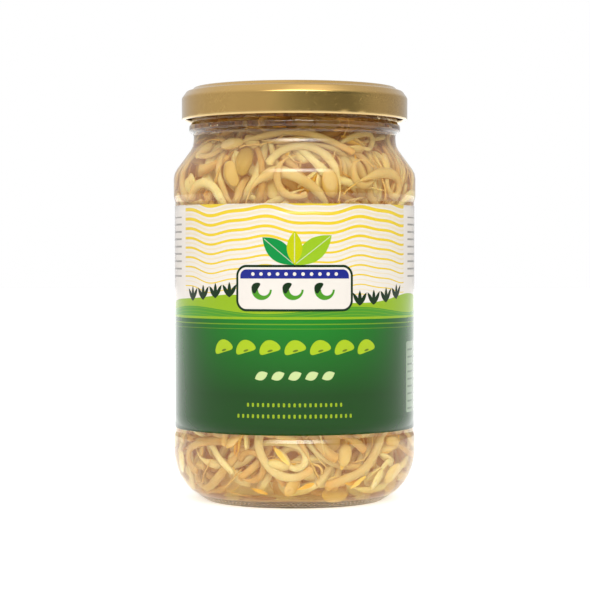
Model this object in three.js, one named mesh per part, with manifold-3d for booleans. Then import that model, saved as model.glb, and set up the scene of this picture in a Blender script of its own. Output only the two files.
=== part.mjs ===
// Jar of bean sprouts: a 370 ml glass jar with a four-lug twist-off lid, a paper label, and a packed
// mass of mung bean sprouts standing in brine.
//
// Frame: millimetres, +Z up, origin at the centre of the jar's base, label front towards -Y.
// The glass, the lid, the sealing ring, the label and the brine are turned shapes round the Z axis. The
// sprouts are placed by a seeded rule and joined into five tangles, one above another.

import * as THREE from 'three';
import { mergeVertices } from 'three/addons/utils/BufferGeometryUtils.js';
import Module from 'manifold-3d';

const wasm = await Module();
wasm.setup();

// Driving dimensions
const TOTAL_HEIGHT = 122.5;
const BODY_RADIUS = 36.0;
const BASE_RING_RADIUS = 26.4;
const NECK_RADIUS = 30.0;
const LID_RADIUS = 33.6;
const LID_BOTTOM = 112.7;
const GLASS_WALL = 2.3;
const GAP = 0.3;
const SIDES = 32;

// Glass jar: heights along the axis
const PUNT_HEIGHT = 2.4;
const PUNT_RADIUS = 22.5;
const LOWER_BAND_TOP = 19.0;
const PANEL_BOTTOM = 20.6;
const PANEL_TOP = 88.6;
const UPPER_BAND_BOTTOM = 90.2;
const SHOULDER_START = 96.5;
const NECK_START = 106.0;
const BEAD_HEIGHT = 110.3;
const BEAD_RADIUS = 31.4;
const BEAD_HALF_HEIGHT = 1.2;
const FINISH_RADIUS = 30.6;
const LIP_TOP = 120.6;
const LIP_ROUNDING = 1.1;
const MOUTH_RADIUS = 26.9;
const FLOOR_HEIGHT = 5.6;

// Curves of the glass between those heights: [radius, height]
const HEEL_CURVE = [[30.2, 2.6], [33.6, 6.2], [35.2, 10.4], [BODY_RADIUS, 15.7]];
const SHOULDER_CURVE = [[35.4, 98.2], [33.8, 100.6], [31.4, 103.8], [NECK_RADIUS, NECK_START + 1.0]];
const INSIDE_SHOULDER = [[MOUTH_RADIUS, NECK_START + 1.5], [28.2, 104.4], [30.6, 101.2], [32.6, 97.8]];
const INSIDE_TOP = 94.0;
const INSIDE_BOTTOM = 14.5;
const INSIDE_HEEL = [[32.2, 9.8], [29.2, 6.6], [25.0, 5.0]];

// Label: a paper strip on the recessed panel, open at the back
const LABEL_RADIUS = 35.7;
const LABEL_PAPER = 0.3;
const LABEL_BOTTOM = 21.8;
const LABEL_TOP = 87.3;
const LABEL_OPENING_DEG = 360 / SIDES;

// Twist-off thread: four ramps on the glass, four lugs on the lid
const LUGS = 4;
const THREAD_RADIUS = 32.2;
const THREAD_ROOT = FINISH_RADIUS - 1.0;
const THREAD_HEIGHT = 1.7;
const THREAD_START_DEG = -8;
const THREAD_END_DEG = 58;
const THREAD_BASE = 114.8;
const LID_TURN_DEG = 70;
const LID_RISE = 2.3;
const RISE_PER_DEG = LID_RISE / LID_TURN_DEG;
const LUG_HALF_DEG = 6;
const LUG_RADIUS = 31.2;
const LUG_HEIGHT = 1.2;
const FIRST_LUG_DEG = 30;

// Lid: pressed sheet
const SHEET = 0.5;
const HEM_WIDTH = 1.0;
const HEM_HEIGHT = 1.8;
const RING_OUTER = 30.4;
const RING_INNER = 29.0;
const PANEL_RADIUS = 27.2;
const PANEL_DEPTH = 0.9;
const BUTTON_RADIUS = 9.5;
const BUTTON_DEPTH = 0.3;
const BUTTON_SLOPE = 0.8;
const CREASE = 0.2;

// Sealing ring: a shallow tray section
const SEAL_INNER = 28.3;
const SEAL_OUTER = 30.8;
const SEAL_TOP_INNER = 29.0;
const SEAL_TOP_OUTER = 30.2;
const SEAL_EDGE = 0.3;
const SEAL_HEIGHT = 0.6;

// Brine and sprouts
const BRINE_WALL = 1.3;
const FILL_LEVEL = 115.0;
const TANGLES = 5;
const SPROUTS_ROUND = 9;
const SPROUTS_ON_END = 5;
const SPROUT_RADIUS = 2.6;
const SPROUT_STEPS = 5;
const SPROUT_STEP = 6.4;
const STALK_SIDES = 4;
const ROOT_WIDTH = 0.42;
const ROOT_TAPER = 3.2;
const SEED_WIDTH = 0.78;
const SEED_LENGTH = 1.15;
const SEED_SIZE = 1.2;
const BEND_LEAST = 0.22;
const BEND_SPREAD = 0.42;
const HOOK_STEPS = 3;
const HOOK_ON = 0.55;
const HOOK_BACK = -0.7;
const HOOK_BACK_SHARE = 0.3;
const SLIMMEST = 0.84;
const FACE_MARGIN = SPROUT_RADIUS * 1.02;
const END_DISTANCE = 10.5;
const END_SQUEEZE = 0.8;
const CORE_ROWS = 3;
const CORE_SIDES = 12;
const CORE_MARGIN = 0.5;
const CORE_UNEVEN = 0.07;
const LAYER_DEPTH = SPROUT_RADIUS * 2.1;
const CORE_DEPTH = SPROUT_RADIUS * 3.9;
const HEEL_PACKED_RADIUS = 22.6;
const HEEL_SPREAD = 1.96;
const PACK_NARROWS = 92.0;
const PACK_NECK = 104.0;
const JOINT_TOLERANCE = 0.3;
const SEED = 20;

const degrees = (value) => value * Math.PI / 180;

const point = (radius, height) => new THREE.Vector2(radius, height);

const pointsOf = (pairs) => pairs.map(([radius, height]) => point(radius, height));

// A seeded generator of even random numbers from 0 to 1
function randomNumbers(seed) {
  let state = seed;
  return () => {
    state = (state * 1664525 + 1013904223) % 4294967296;
    return state / 4294967296;
  };
}

// A geometry with its doubled vertices merged and its empty triangles dropped, as a closed solid
function solid(geometry) {
  const bare = new THREE.BufferGeometry();
  bare.setAttribute('position', geometry.getAttribute('position'));
  bare.setIndex(geometry.getIndex());
  const merged = mergeVertices(bare, 1e-4);
  const corners = merged.getIndex().array;
  const kept = [];
  for (let i = 0; i < corners.length; i += 3) {
    const [a, b, c] = [corners[i], corners[i + 1], corners[i + 2]];
    if (a !== b && b !== c && c !== a) {
      kept.push(a, b, c);
    }
  }
  return solidFrom(merged.getAttribute('position').array, kept);
}

// A closed solid that faces outwards, from its corner positions and its triangles
function solidFrom(positions, triangles) {
  const build = (corners) => new wasm.Manifold(new wasm.Mesh({
    numProp: 3,
    vertProperties: Float32Array.from(positions),
    triVerts: Uint32Array.from(corners),
  }));
  const first = build(triangles);
  if (first.volume() > 0) {
    return first;
  }
  const flipped = [];
  for (let i = 0; i < triangles.length; i += 3) {
    flipped.push(triangles[i], triangles[i + 2], triangles[i + 1]);
  }
  return build(flipped);
}

// A profile of (radius, height) points turned round the Z axis
function turned(profile) {
  const geometry = new THREE.LatheGeometry(profile, SIDES);
  geometry.rotateX(Math.PI / 2);
  return solid(geometry);
}

// Points of a smooth curve through a few (radius, height) points
function smooth(points, steps) {
  return new THREE.SplineCurve(points).getPoints(steps);
}

// Points of a round corner of the given radius about a centre, from one angle to another
function corner(centre, radius, fromDeg, toDeg, steps) {
  const points = [];
  for (let i = 0; i <= steps; i += 1) {
    const angle = degrees(fromDeg + (toDeg - fromDeg) * i / steps);
    points.push(point(centre.x + radius * Math.cos(angle), centre.y + radius * Math.sin(angle)));
  }
  return points;
}

// A bar bent round the axis, rising steadily as it turns
function rampBar(startDeg, endDeg, innerRadius, outerRadius, base, height) {
  const steps = Math.max(2, Math.round(Math.abs(endDeg - startDeg) / 8));
  const bar = new THREE.BoxGeometry(1, 1, 1, steps, 1, 1);
  const places = bar.getAttribute('position');
  for (let i = 0; i < places.count; i += 1) {
    const turn = startDeg + (endDeg - startDeg) * (places.getX(i) + 0.5);
    const radius = innerRadius + (outerRadius - innerRadius) * (places.getY(i) + 0.5);
    const rise = base + RISE_PER_DEG * (turn - startDeg) + height * (places.getZ(i) + 0.5);
    places.setXYZ(i, radius * Math.cos(degrees(turn)), radius * Math.sin(degrees(turn)), rise);
  }
  return solid(bar);
}

// The largest body of a joined solid: loose scraps and sealed hollows are left out
function mainBody(joined) {
  const bodies = joined.decompose();
  bodies.sort((one, other) => other.volume() - one.volume());
  return bodies[0];
}

// A named mesh of a solid in its own material
function piece(name, shape, finish) {
  const mesh = shape.getMesh();
  const geometry = new THREE.BufferGeometry();
  geometry.setAttribute('position', new THREE.BufferAttribute(Float32Array.from(mesh.vertProperties), 3));
  geometry.setIndex(new THREE.BufferAttribute(Uint32Array.from(mesh.triVerts), 1));
  geometry.computeVertexNormals();
  const made = new THREE.Mesh(geometry, new THREE.MeshStandardMaterial(finish));
  made.name = name;
  return made;
}

// Glass jar

function glassOutside() {
  const heel = smooth([point(BASE_RING_RADIUS, 0), ...pointsOf(HEEL_CURVE)], 7);
  const panel = LABEL_RADIUS - LABEL_PAPER - GAP;
  const shoulder = smooth([point(BODY_RADIUS, SHOULDER_START), ...pointsOf(SHOULDER_CURVE)], 6);
  const bead = corner(point(BEAD_RADIUS - BEAD_HALF_HEIGHT, BEAD_HEIGHT), BEAD_HALF_HEIGHT, -75, 75, 4);
  const lip = corner(
    point(FINISH_RADIUS - LIP_ROUNDING, LIP_TOP - LIP_ROUNDING), LIP_ROUNDING, 0, 90, 2);
  return [
    point(0, PUNT_HEIGHT),
    point(PUNT_RADIUS * 0.75, PUNT_HEIGHT * 0.7),
    point(PUNT_RADIUS, 0),
    ...heel,
    point(BODY_RADIUS, LOWER_BAND_TOP),
    point(panel, PANEL_BOTTOM),
    point(panel, PANEL_TOP),
    point(BODY_RADIUS, UPPER_BAND_BOTTOM),
    ...shoulder,
    point(NECK_RADIUS, BEAD_HEIGHT - BEAD_HALF_HEIGHT),
    ...bead,
    point(FINISH_RADIUS, BEAD_HEIGHT + BEAD_HALF_HEIGHT),
    ...lip,
  ];
}

// The inside of the glass from the mouth down to the floor: (radius, height) points
function glassInside() {
  const body = LABEL_RADIUS - GLASS_WALL;
  return [
    point(MOUTH_RADIUS, LIP_TOP - LIP_ROUNDING),
    ...pointsOf(INSIDE_SHOULDER),
    point(body, INSIDE_TOP),
    point(body, INSIDE_BOTTOM),
    ...pointsOf(INSIDE_HEEL),
    point(0, FLOOR_HEIGHT),
  ];
}

function glassJar() {
  const mouth = corner(
    point(MOUTH_RADIUS + LIP_ROUNDING, LIP_TOP - LIP_ROUNDING), LIP_ROUNDING, 90, 150, 1);
  let jar = turned([...glassOutside(), ...mouth, ...glassInside()]);
  for (let i = 0; i < LUGS; i += 1) {
    const start = FIRST_LUG_DEG + 360 * i / LUGS + THREAD_START_DEG;
    const end = start - THREAD_START_DEG + THREAD_END_DEG;
    jar = jar.add(rampBar(start, end, THREAD_ROOT, THREAD_RADIUS, THREAD_BASE, THREAD_HEIGHT));
  }
  return mainBody(jar);
}

// Label

function label() {
  const opening = degrees(LABEL_OPENING_DEG);
  const strip = new THREE.Shape();
  const steps = SIDES - 1;
  const arc = (radius, place) => {
    const angle = Math.PI / 2 + opening + (2 * Math.PI - opening) * place / steps;
    return [radius * Math.cos(angle), radius * Math.sin(angle)];
  };
  strip.moveTo(...arc(LABEL_RADIUS, 0));
  for (let i = 1; i <= steps; i += 1) {
    strip.lineTo(...arc(LABEL_RADIUS, i));
  }
  for (let i = steps; i >= 0; i -= 1) {
    strip.lineTo(...arc(LABEL_RADIUS - LABEL_PAPER, i));
  }
  const height = LABEL_TOP - LABEL_BOTTOM;
  const geometry = new THREE.ExtrudeGeometry(strip, { depth: height, bevelEnabled: false });
  geometry.translate(0, 0, LABEL_BOTTOM);
  return solid(geometry);
}

// Lid and sealing ring

function lid() {
  const bend = point(RING_OUTER, TOTAL_HEIGHT - LID_RADIUS + RING_OUTER);
  const shoulder = corner(bend, LID_RADIUS - RING_OUTER, 90, 0, 3);
  const shoulderInside = corner(bend, LID_RADIUS - RING_OUTER - SHEET, 0, 90, 3);
  const skirtInside = LID_RADIUS - SHEET;
  const hemInside = LID_RADIUS - HEM_WIDTH;
  const panel = TOTAL_HEIGHT - PANEL_DEPTH;
  const profile = [
    point(0, panel - BUTTON_DEPTH),
    point(BUTTON_RADIUS, panel - BUTTON_DEPTH),
    point(BUTTON_RADIUS + BUTTON_SLOPE, panel),
    point(PANEL_RADIUS, panel),
    point(PANEL_RADIUS + 0.9, TOTAL_HEIGHT - CREASE),
    point(RING_INNER, TOTAL_HEIGHT),
    ...shoulder,
    point(LID_RADIUS, LID_BOTTOM + HEM_HEIGHT * 0.4),
    point(LID_RADIUS - 0.3, LID_BOTTOM),
    point(hemInside + 0.25, LID_BOTTOM),
    point(hemInside, LID_BOTTOM + HEM_HEIGHT * 0.4),
    point(hemInside, LID_BOTTOM + HEM_HEIGHT),
    point(skirtInside, LID_BOTTOM + HEM_HEIGHT + 0.4),
    ...shoulderInside,
    point(RING_INNER - 0.3, TOTAL_HEIGHT - CREASE - SHEET),
    point(PANEL_RADIUS + 0.25, panel - SHEET),
    point(BUTTON_RADIUS + BUTTON_SLOPE, panel - SHEET),
    point(BUTTON_RADIUS, panel - BUTTON_DEPTH - SHEET),
    point(0, panel - BUTTON_DEPTH - SHEET),
  ];
  let cap = turned(profile);
  const lugStart = THREAD_BASE + RISE_PER_DEG * (-LUG_HALF_DEG - THREAD_START_DEG) - GAP - LUG_HEIGHT;
  for (let i = 0; i < LUGS; i += 1) {
    const middle = FIRST_LUG_DEG + 360 * i / LUGS;
    const lug = rampBar(
      middle - LUG_HALF_DEG, middle + LUG_HALF_DEG, LUG_RADIUS, hemInside + 0.4, lugStart, LUG_HEIGHT);
    cap = cap.add(lug);
  }
  return mainBody(cap);
}

function sealingRing() {
  const bottom = LIP_TOP + GAP;
  return turned([
    point(SEAL_INNER, bottom),
    point(SEAL_OUTER, bottom),
    point(SEAL_OUTER, bottom + SEAL_EDGE),
    point(SEAL_TOP_OUTER, bottom + SEAL_HEIGHT),
    point(SEAL_TOP_INNER, bottom + SEAL_HEIGHT),
    point(SEAL_INNER, bottom + SEAL_EDGE),
    point(SEAL_INNER, bottom),
  ]);
}

// Brine: a liner of liquid along the glass, with one plain hole for the sprouts

const innerProfile = glassInside();

// Radius of the inside of the glass at a height
function insideRadius(height) {
  for (let i = 1; i < innerProfile.length; i += 1) {
    const above = innerProfile[i - 1];
    const below = innerProfile[i];
    if (height <= above.y && height >= below.y && above.y > below.y) {
      const share = (height - below.y) / (above.y - below.y);
      return below.x + (above.x - below.x) * share;
    }
  }
  return MOUTH_RADIUS;
}

function brine() {
  const heights = [FILL_LEVEL, NECK_START + 1.5, 104.4, 97.8, INSIDE_TOP, INSIDE_BOTTOM, 9.8];
  const outside = heights.map((height) => point(insideRadius(height) - GAP, height));
  const inside = outside.map((spot) => point(spot.x - BRINE_WALL, spot.y));
  const bottom = FLOOR_HEIGHT + GAP;
  const hollowFloor = bottom + BRINE_WALL;
  return turned([
    point(0, hollowFloor),
    point(25.5, hollowFloor),
    ...inside.reverse(),
    ...outside,
    point(28.2, bottom + 0.6),
    point(25.6, bottom),
    point(0, bottom),
  ]);
}

// Sprouts

// Lowest and highest place that the sprouts may reach
const SPROUT_FLOOR = FLOOR_HEIGHT + 2 * GAP + BRINE_WALL;
const SPROUT_TOP = FILL_LEVEL - 0.5;

// Radius that the sprouts may reach at a height: less in the heel, and narrowing early for the neck
function packedRadius(height) {
  const body = LABEL_RADIUS - GLASS_WALL - 2 * GAP - BRINE_WALL - 0.1;
  const neck = MOUTH_RADIUS - 2 * GAP - BRINE_WALL - 0.1;
  const heel = HEEL_PACKED_RADIUS + (height - SPROUT_FLOOR) * HEEL_SPREAD;
  const share = (height - PACK_NARROWS) / (PACK_NECK - PACK_NARROWS);
  const shoulder = body + (neck - body) * Math.min(1, Math.max(0, share));
  return Math.min(heel, shoulder);
}

// A tapered stalk along a curve: thick in the middle, a thin root at its start, a plump neck at its end
function stalk(places, radius) {
  const path = new THREE.CatmullRomCurve3(places);
  const segments = places.length - 1;
  const tube = new THREE.CylinderGeometry(1, 1, 1, STALK_SIDES, segments, false);
  const frames = path.computeFrenetFrames(segments, false);
  const corners = tube.getAttribute('position');
  const moved = new THREE.Vector3();
  for (let i = 0; i < corners.count; i += 1) {
    const along = corners.getY(i) + 0.5;
    const step = Math.round(along * segments);
    const width = radius * (ROOT_WIDTH + (1 - ROOT_WIDTH) * Math.min(1, along * ROOT_TAPER));
    moved.copy(path.getPoint(along));
    moved.addScaledVector(frames.normals[step], corners.getX(i) * width);
    moved.addScaledVector(frames.binormals[step], corners.getZ(i) * width);
    corners.setXYZ(i, moved.x, moved.y, moved.z);
  }
  return solid(tube);
}

// A pair of seed leaves as one plump bean shape
function seedLeaves(place, direction, size) {
  const bean = new THREE.OctahedronGeometry(1, 0);
  bean.scale(size * SEED_WIDTH, size * SEED_WIDTH, size * SEED_LENGTH);
  const turn = new THREE.Quaternion().setFromUnitVectors(new THREE.Vector3(0, 0, 1), direction);
  bean.applyQuaternion(turn);
  bean.translate(place.x, place.y, place.z);
  return solid(bean);
}

// A curl drawn flat about its own middle, turned a random way and kept within a height
function flatCurl(random, halfHeight) {
  const side = random() < 0.5 ? -1 : 1;
  const bend = side * (BEND_LEAST + BEND_SPREAD * random());
  const hook = side * (random() < HOOK_BACK_SHARE ? HOOK_BACK : HOOK_ON);
  let heading = random() * 2 * Math.PI;
  const places = [new THREE.Vector2(0, 0)];
  for (let i = 1; i <= SPROUT_STEPS; i += 1) {
    const step = new THREE.Vector2(SPROUT_STEP * Math.cos(heading), SPROUT_STEP * Math.sin(heading));
    places.push(places[i - 1].clone().add(step));
    heading += i > SPROUT_STEPS - HOOK_STEPS ? bend + hook : bend;
  }
  const tip = places[SPROUT_STEPS].clone().multiplyScalar(1.5);
  tip.addScaledVector(places[SPROUT_STEPS - 1], -0.5);
  const box = new THREE.Box2().setFromPoints([...places, tip]);
  const middle = box.getCenter(new THREE.Vector2());
  const squeeze = Math.min(1, 2 * halfHeight / (box.max.y - box.min.y));
  return places.map((place) => new THREE.Vector2(place.x - middle.x, (place.y - middle.y) * squeeze));
}

// A curl laid on the side of a tangle, with its root sunk in the core
function sideCurl(random, band, middleTurn, depth) {
  const middle = (band.low + band.high) / 2;
  const halfHeight = (band.high - band.low) / 2 - FACE_MARGIN;
  return flatCurl(random, halfHeight).map((place, step) => {
    const height = middle + place.y;
    const face = packedRadius(height) - FACE_MARGIN - depth;
    const sunk = packedRadius(height) - CORE_DEPTH - 2.0;
    const radius = step === 0 ? sunk : step === 1 ? (face + sunk) / 2 + 1.0 : face;
    const turn = middleTurn + place.x / (packedRadius(height) - SPROUT_RADIUS);
    return new THREE.Vector3(radius * Math.cos(turn), radius * Math.sin(turn), height);
  });
}

// A curl that lies on the top or the bottom of the whole mass, its root sunk in the core
function endCurl(random, level, inward, distance, turn) {
  const middle = new THREE.Vector2(distance * Math.cos(turn), distance * Math.sin(turn));
  return flatCurl(random, SPROUT_STEP * 1.4).map((place, step) => {
    const sunk = step === 0 ? inward * SPROUT_RADIUS * 2.2 : 0;
    const spot = place.clone().multiplyScalar(END_SQUEEZE);
    spot.rotateAround(new THREE.Vector2(0, 0), turn).add(middle);
    return new THREE.Vector3(spot.x, spot.y, level + sunk);
  });
}

// The packed middle of a tangle, uneven, which the sprouts stand out of
function core(random, band) {
  const bottom = band.low + CORE_MARGIN;
  const top = band.high - CORE_MARGIN;
  const profile = [point(0, bottom)];
  for (let i = 0; i <= CORE_ROWS; i += 1) {
    const height = bottom + (top - bottom) * i / CORE_ROWS;
    profile.push(point(packedRadius(height) - CORE_DEPTH, height));
  }
  profile.push(point(0, top));
  const geometry = new THREE.LatheGeometry(profile, CORE_SIDES);
  geometry.rotateX(Math.PI / 2);
  const lump = solid(geometry).getMesh();
  const corners = Float32Array.from(lump.vertProperties);
  for (let i = 0; i < corners.length; i += 3) {
    const shrink = 1 - CORE_UNEVEN * random();
    corners[i] *= shrink;
    corners[i + 1] *= shrink;
  }
  return solidFrom(corners, lump.triVerts);
}

// One tangle: the core, two layers of sprouts round it, and on the end ones those that lie on the end
function tangle(index) {
  const random = randomNumbers(SEED + index * 977);
  const height = (SPROUT_TOP - SPROUT_FLOOR) / TANGLES;
  const band = {
    low: SPROUT_FLOOR + height * index + GAP / 2,
    high: SPROUT_FLOOR + height * (index + 1) - GAP / 2,
  };
  const lines = [];
  for (let i = 0; i < SPROUTS_ROUND; i += 1) {
    const turn = 2 * Math.PI * (i + 0.37 * index) / SPROUTS_ROUND;
    lines.push(sideCurl(random, band, turn, 0));
    lines.push(sideCurl(random, band, turn + Math.PI / SPROUTS_ROUND, LAYER_DEPTH));
  }
  const inward = { 0: 1, [TANGLES - 1]: -1 }[index] ?? 0;
  const heap = { ...band };
  if (inward !== 0) {
    const level = inward > 0 ? band.low + SPROUT_RADIUS : band.high - SPROUT_RADIUS;
    heap.low += inward > 0 ? 1.6 * SPROUT_RADIUS : 0;
    heap.high -= inward < 0 ? 1.6 * SPROUT_RADIUS : 0;
    for (let i = 0; i < SPROUTS_ON_END; i += 1) {
      lines.push(endCurl(random, level, inward, END_DISTANCE, 2 * Math.PI * i / SPROUTS_ON_END));
    }
  }
  const parts = [core(random, heap)];
  for (const places of lines) {
    const radius = SPROUT_RADIUS * (SLIMMEST + (1 - SLIMMEST) * random());
    const last = places[SPROUT_STEPS];
    const direction = last.clone().sub(places[SPROUT_STEPS - 1]).normalize();
    parts.push(stalk(places, radius));
    parts.push(seedLeaves(last, direction, radius * SEED_SIZE));
  }
  return mainBody(wasm.Manifold.union(parts)).asOriginal().simplify(JOINT_TOLERANCE);
}

// Finishes
const GLASS = { color: 0xdfe8e2, roughness: 0.05, metalness: 0.0, transparent: true, opacity: 0.35 };
const GOLD_LACQUER = { color: 0xb9975a, roughness: 0.38, metalness: 0.9 };
const SEAL_PLASTIC = { color: 0xe9e4d6, roughness: 0.6, metalness: 0.0 };
const PAPER = { color: 0x3f8a4a, roughness: 0.5, metalness: 0.0 };
const LIQUID = { color: 0xefe3b4, roughness: 0.05, metalness: 0.0, transparent: true, opacity: 0.3 };
const SPROUT = { color: 0xe2cf9c, roughness: 0.45, metalness: 0.0 };

const group = new THREE.Group();
group.add(piece('glass_jar', glassJar(), GLASS));
group.add(piece('label', label(), PAPER));
group.add(piece('brine', brine(), LIQUID));
for (let i = 0; i < TANGLES; i += 1) {
  group.add(piece(`sprout_tangle_${i + 1}`, tangle(i), SPROUT));
}
group.add(piece('sealing_ring', sealingRing(), SEAL_PLASTIC));
group.add(piece('lid', lid(), GOLD_LACQUER));

export default group;
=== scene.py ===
# %% [markdown]
# # A jar of bean sprouts
# A 370 ml glass jar stands on a pale floor: a gold twist-off lid, a printed paper label, and cream
# sprouts packed in a slightly yellow brine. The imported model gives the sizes, and this script gives the
# looks. Glass and brine have to bend light as the real ones do, because that is what spreads the sprouts
# right up to the outline of the jar. So both are real closed volumes, and not tinted films.

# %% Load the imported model
import math
import random

import bpy
import numpy as np
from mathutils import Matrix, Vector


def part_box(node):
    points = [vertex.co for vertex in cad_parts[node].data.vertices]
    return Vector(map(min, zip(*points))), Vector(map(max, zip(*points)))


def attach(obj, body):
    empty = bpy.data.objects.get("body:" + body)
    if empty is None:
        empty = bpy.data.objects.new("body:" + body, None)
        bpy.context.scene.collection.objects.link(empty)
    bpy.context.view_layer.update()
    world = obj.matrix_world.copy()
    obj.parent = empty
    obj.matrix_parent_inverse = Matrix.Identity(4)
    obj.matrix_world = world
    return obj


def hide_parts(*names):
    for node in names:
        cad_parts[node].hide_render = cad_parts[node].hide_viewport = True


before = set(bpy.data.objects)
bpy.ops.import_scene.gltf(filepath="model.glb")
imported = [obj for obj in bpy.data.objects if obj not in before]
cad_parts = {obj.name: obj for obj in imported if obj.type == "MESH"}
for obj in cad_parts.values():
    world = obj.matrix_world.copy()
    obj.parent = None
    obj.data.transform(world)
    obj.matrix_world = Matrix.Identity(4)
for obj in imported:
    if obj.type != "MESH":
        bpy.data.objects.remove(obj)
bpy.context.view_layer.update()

# %% [markdown]
# ## Camera
# The photograph was taken from a little over half a metre with the eye near the middle of the jar: the
# lid is seen slightly from below and the base slightly from above. How strongly those two edges curve
# gives the distance, and the jar's width in the picture gives the focal length.

# %% Camera
MM = 0.001
IMAGE_SIDE = 590
SENSOR_WIDTH = 36.0
PIXELS_PER_MM = 3.347
CAMERA_DISTANCE = 0.615
EYE_HEIGHT = 0.0722
HORIZON_ROW = 257.0
AXIS_COLUMN = 294.6

focal_pixels = PIXELS_PER_MM / MM * CAMERA_DISTANCE
camera_data = bpy.data.cameras.new("camera")
camera_data.sensor_width = SENSOR_WIDTH
camera_data.lens = focal_pixels * SENSOR_WIDTH / IMAGE_SIDE
camera_data.clip_start = 0.01
camera = bpy.data.objects.new("camera", camera_data)
side_step = (IMAGE_SIDE / 2 - AXIS_COLUMN) / PIXELS_PER_MM * MM
tilt_down = math.atan((IMAGE_SIDE / 2 - HORIZON_ROW) / focal_pixels)
camera.location = (side_step, -CAMERA_DISTANCE, EYE_HEIGHT)
camera.rotation_euler = (math.pi / 2 - tilt_down, 0, 0)
bpy.context.scene.collection.objects.link(camera)
bpy.context.scene.camera = camera
print(f"lens {camera_data.lens:.1f} mm at {CAMERA_DISTANCE} m")

# %% [markdown]
# ## Shader sums
# Every finish here is worked out from the place on the surface: stripes, fibres, spots, tints. Node
# trees for such sums are hard to read, so one small class lets a socket stand in ordinary Python sums.
# Numbers stay numbers until they meet a socket.

# %% Sockets that can be added and multiplied
class Signal:
    def __init__(self, tree, socket):
        self.tree = tree
        self.socket = socket

    def math(self, operation, *others, clamp=False):
        node = self.tree.nodes.new("ShaderNodeMath")
        node.operation = operation
        node.use_clamp = clamp
        for place, value in enumerate((self, *others)):
            plug(self.tree, node.inputs[place], value)
        return Signal(self.tree, node.outputs[0])

    def __add__(self, other):
        return self.math("ADD", other)

    def __sub__(self, other):
        return self.math("SUBTRACT", other)

    def __rsub__(self, other):
        return self.math("MULTIPLY_ADD", -1.0, other)

    def __mul__(self, other):
        return self.math("MULTIPLY", other)

    __radd__ = __add__
    __rmul__ = __mul__

    def __neg__(self):
        return self.math("MULTIPLY", -1.0)

    def clamped(self):
        return self.math("ADD", 0.0, clamp=True)

    def ramp(self, start, slope):
        """Zero on one side of the start, then rising by the slope until it is one."""
        return (self - start).math("MULTIPLY", slope, clamp=True)


def plug(tree, socket, value):
    if isinstance(value, Signal):
        tree.links.new(value.socket, socket)
    elif isinstance(value, (tuple, list)) and len(value) < len(socket.default_value):
        socket.default_value = (*value, 1.0)
    else:
        socket.default_value = value


class Finish:
    """A material whose nodes are made one by one, with its main shader ready."""

    def __init__(self, name, **constants):
        self.material = bpy.data.materials.new(name)
        self.material.use_nodes = True
        self.tree = self.material.node_tree
        self.shader = self.tree.nodes["Principled BSDF"]
        for socket, value in constants.items():
            plug(self.tree, self.shader.inputs[socket.replace("_", " ")], value)

    def node(self, kind, output=0, settings=None, **values):
        node = self.tree.nodes.new("ShaderNode" + kind)
        for setting, value in (settings or {}).items():
            setattr(node, setting, value)
        for socket, value in values.items():
            plug(self.tree, find_socket(node, socket), value)
        return Signal(self.tree, node.outputs[output])

    def mix(self, share, first, second, blend="MIX"):
        node = self.tree.nodes.new("ShaderNodeMix")
        node.data_type = "RGBA"
        node.blend_type = blend
        plug(self.tree, node.inputs[0], share)
        plug(self.tree, node.inputs[6], first)
        plug(self.tree, node.inputs[7], second)
        return Signal(self.tree, node.outputs[2])

    def noise(self, scale, detail=3.0, vector=None, roughness=0.5):
        place = vector or self.place()
        return self.node("TexNoise", Vector=place, Scale=scale, Detail=detail, Roughness=roughness)

    def place(self):
        return self.node("TexCoord", output=3)

    def parts(self, vector):
        node = self.tree.nodes.new("ShaderNodeSeparateXYZ")
        plug(self.tree, node.inputs[0], vector)
        return [Signal(self.tree, out) for out in node.outputs]

    def attribute(self, name):
        return self.node("Attribute", output=2, settings={"attribute_name": name})

    def bump(self, height, distance, strength=1.0):
        node = self.node("Bump", Height=height, Distance=distance, Strength=strength)
        self.set("Normal", node)

    def set(self, socket, value):
        plug(self.tree, self.shader.inputs[socket], value)

    def coloured(self, colour, glow_tint):
        """A colour for what the surface reflects, and a warmer one for the painted glow that it gives off."""
        self.set("Base Color", colour)
        self.set("Emission Color", self.mix(1.0, colour, glow_tint, blend="MULTIPLY"))


def find_socket(node, name):
    plain = name.replace("_", " ")
    for socket in node.inputs:
        if socket.name == plain and socket.enabled:
            return socket
    return node.inputs[int(plain.split()[-1])]


# %% [markdown]
# ## Turned shapes
# Jar, lid, brine and sealing ring are all round, so each starts as a profile: a few corners with a
# rounding radius, turned about the axis. A profile is short to write and exact. Where a real piece isn't
# round, as at a thread or a knurl, a function pushes the turned surface in or out.

# %% Profiles with rounded corners
ARC_STEP = math.radians(15)


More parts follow.
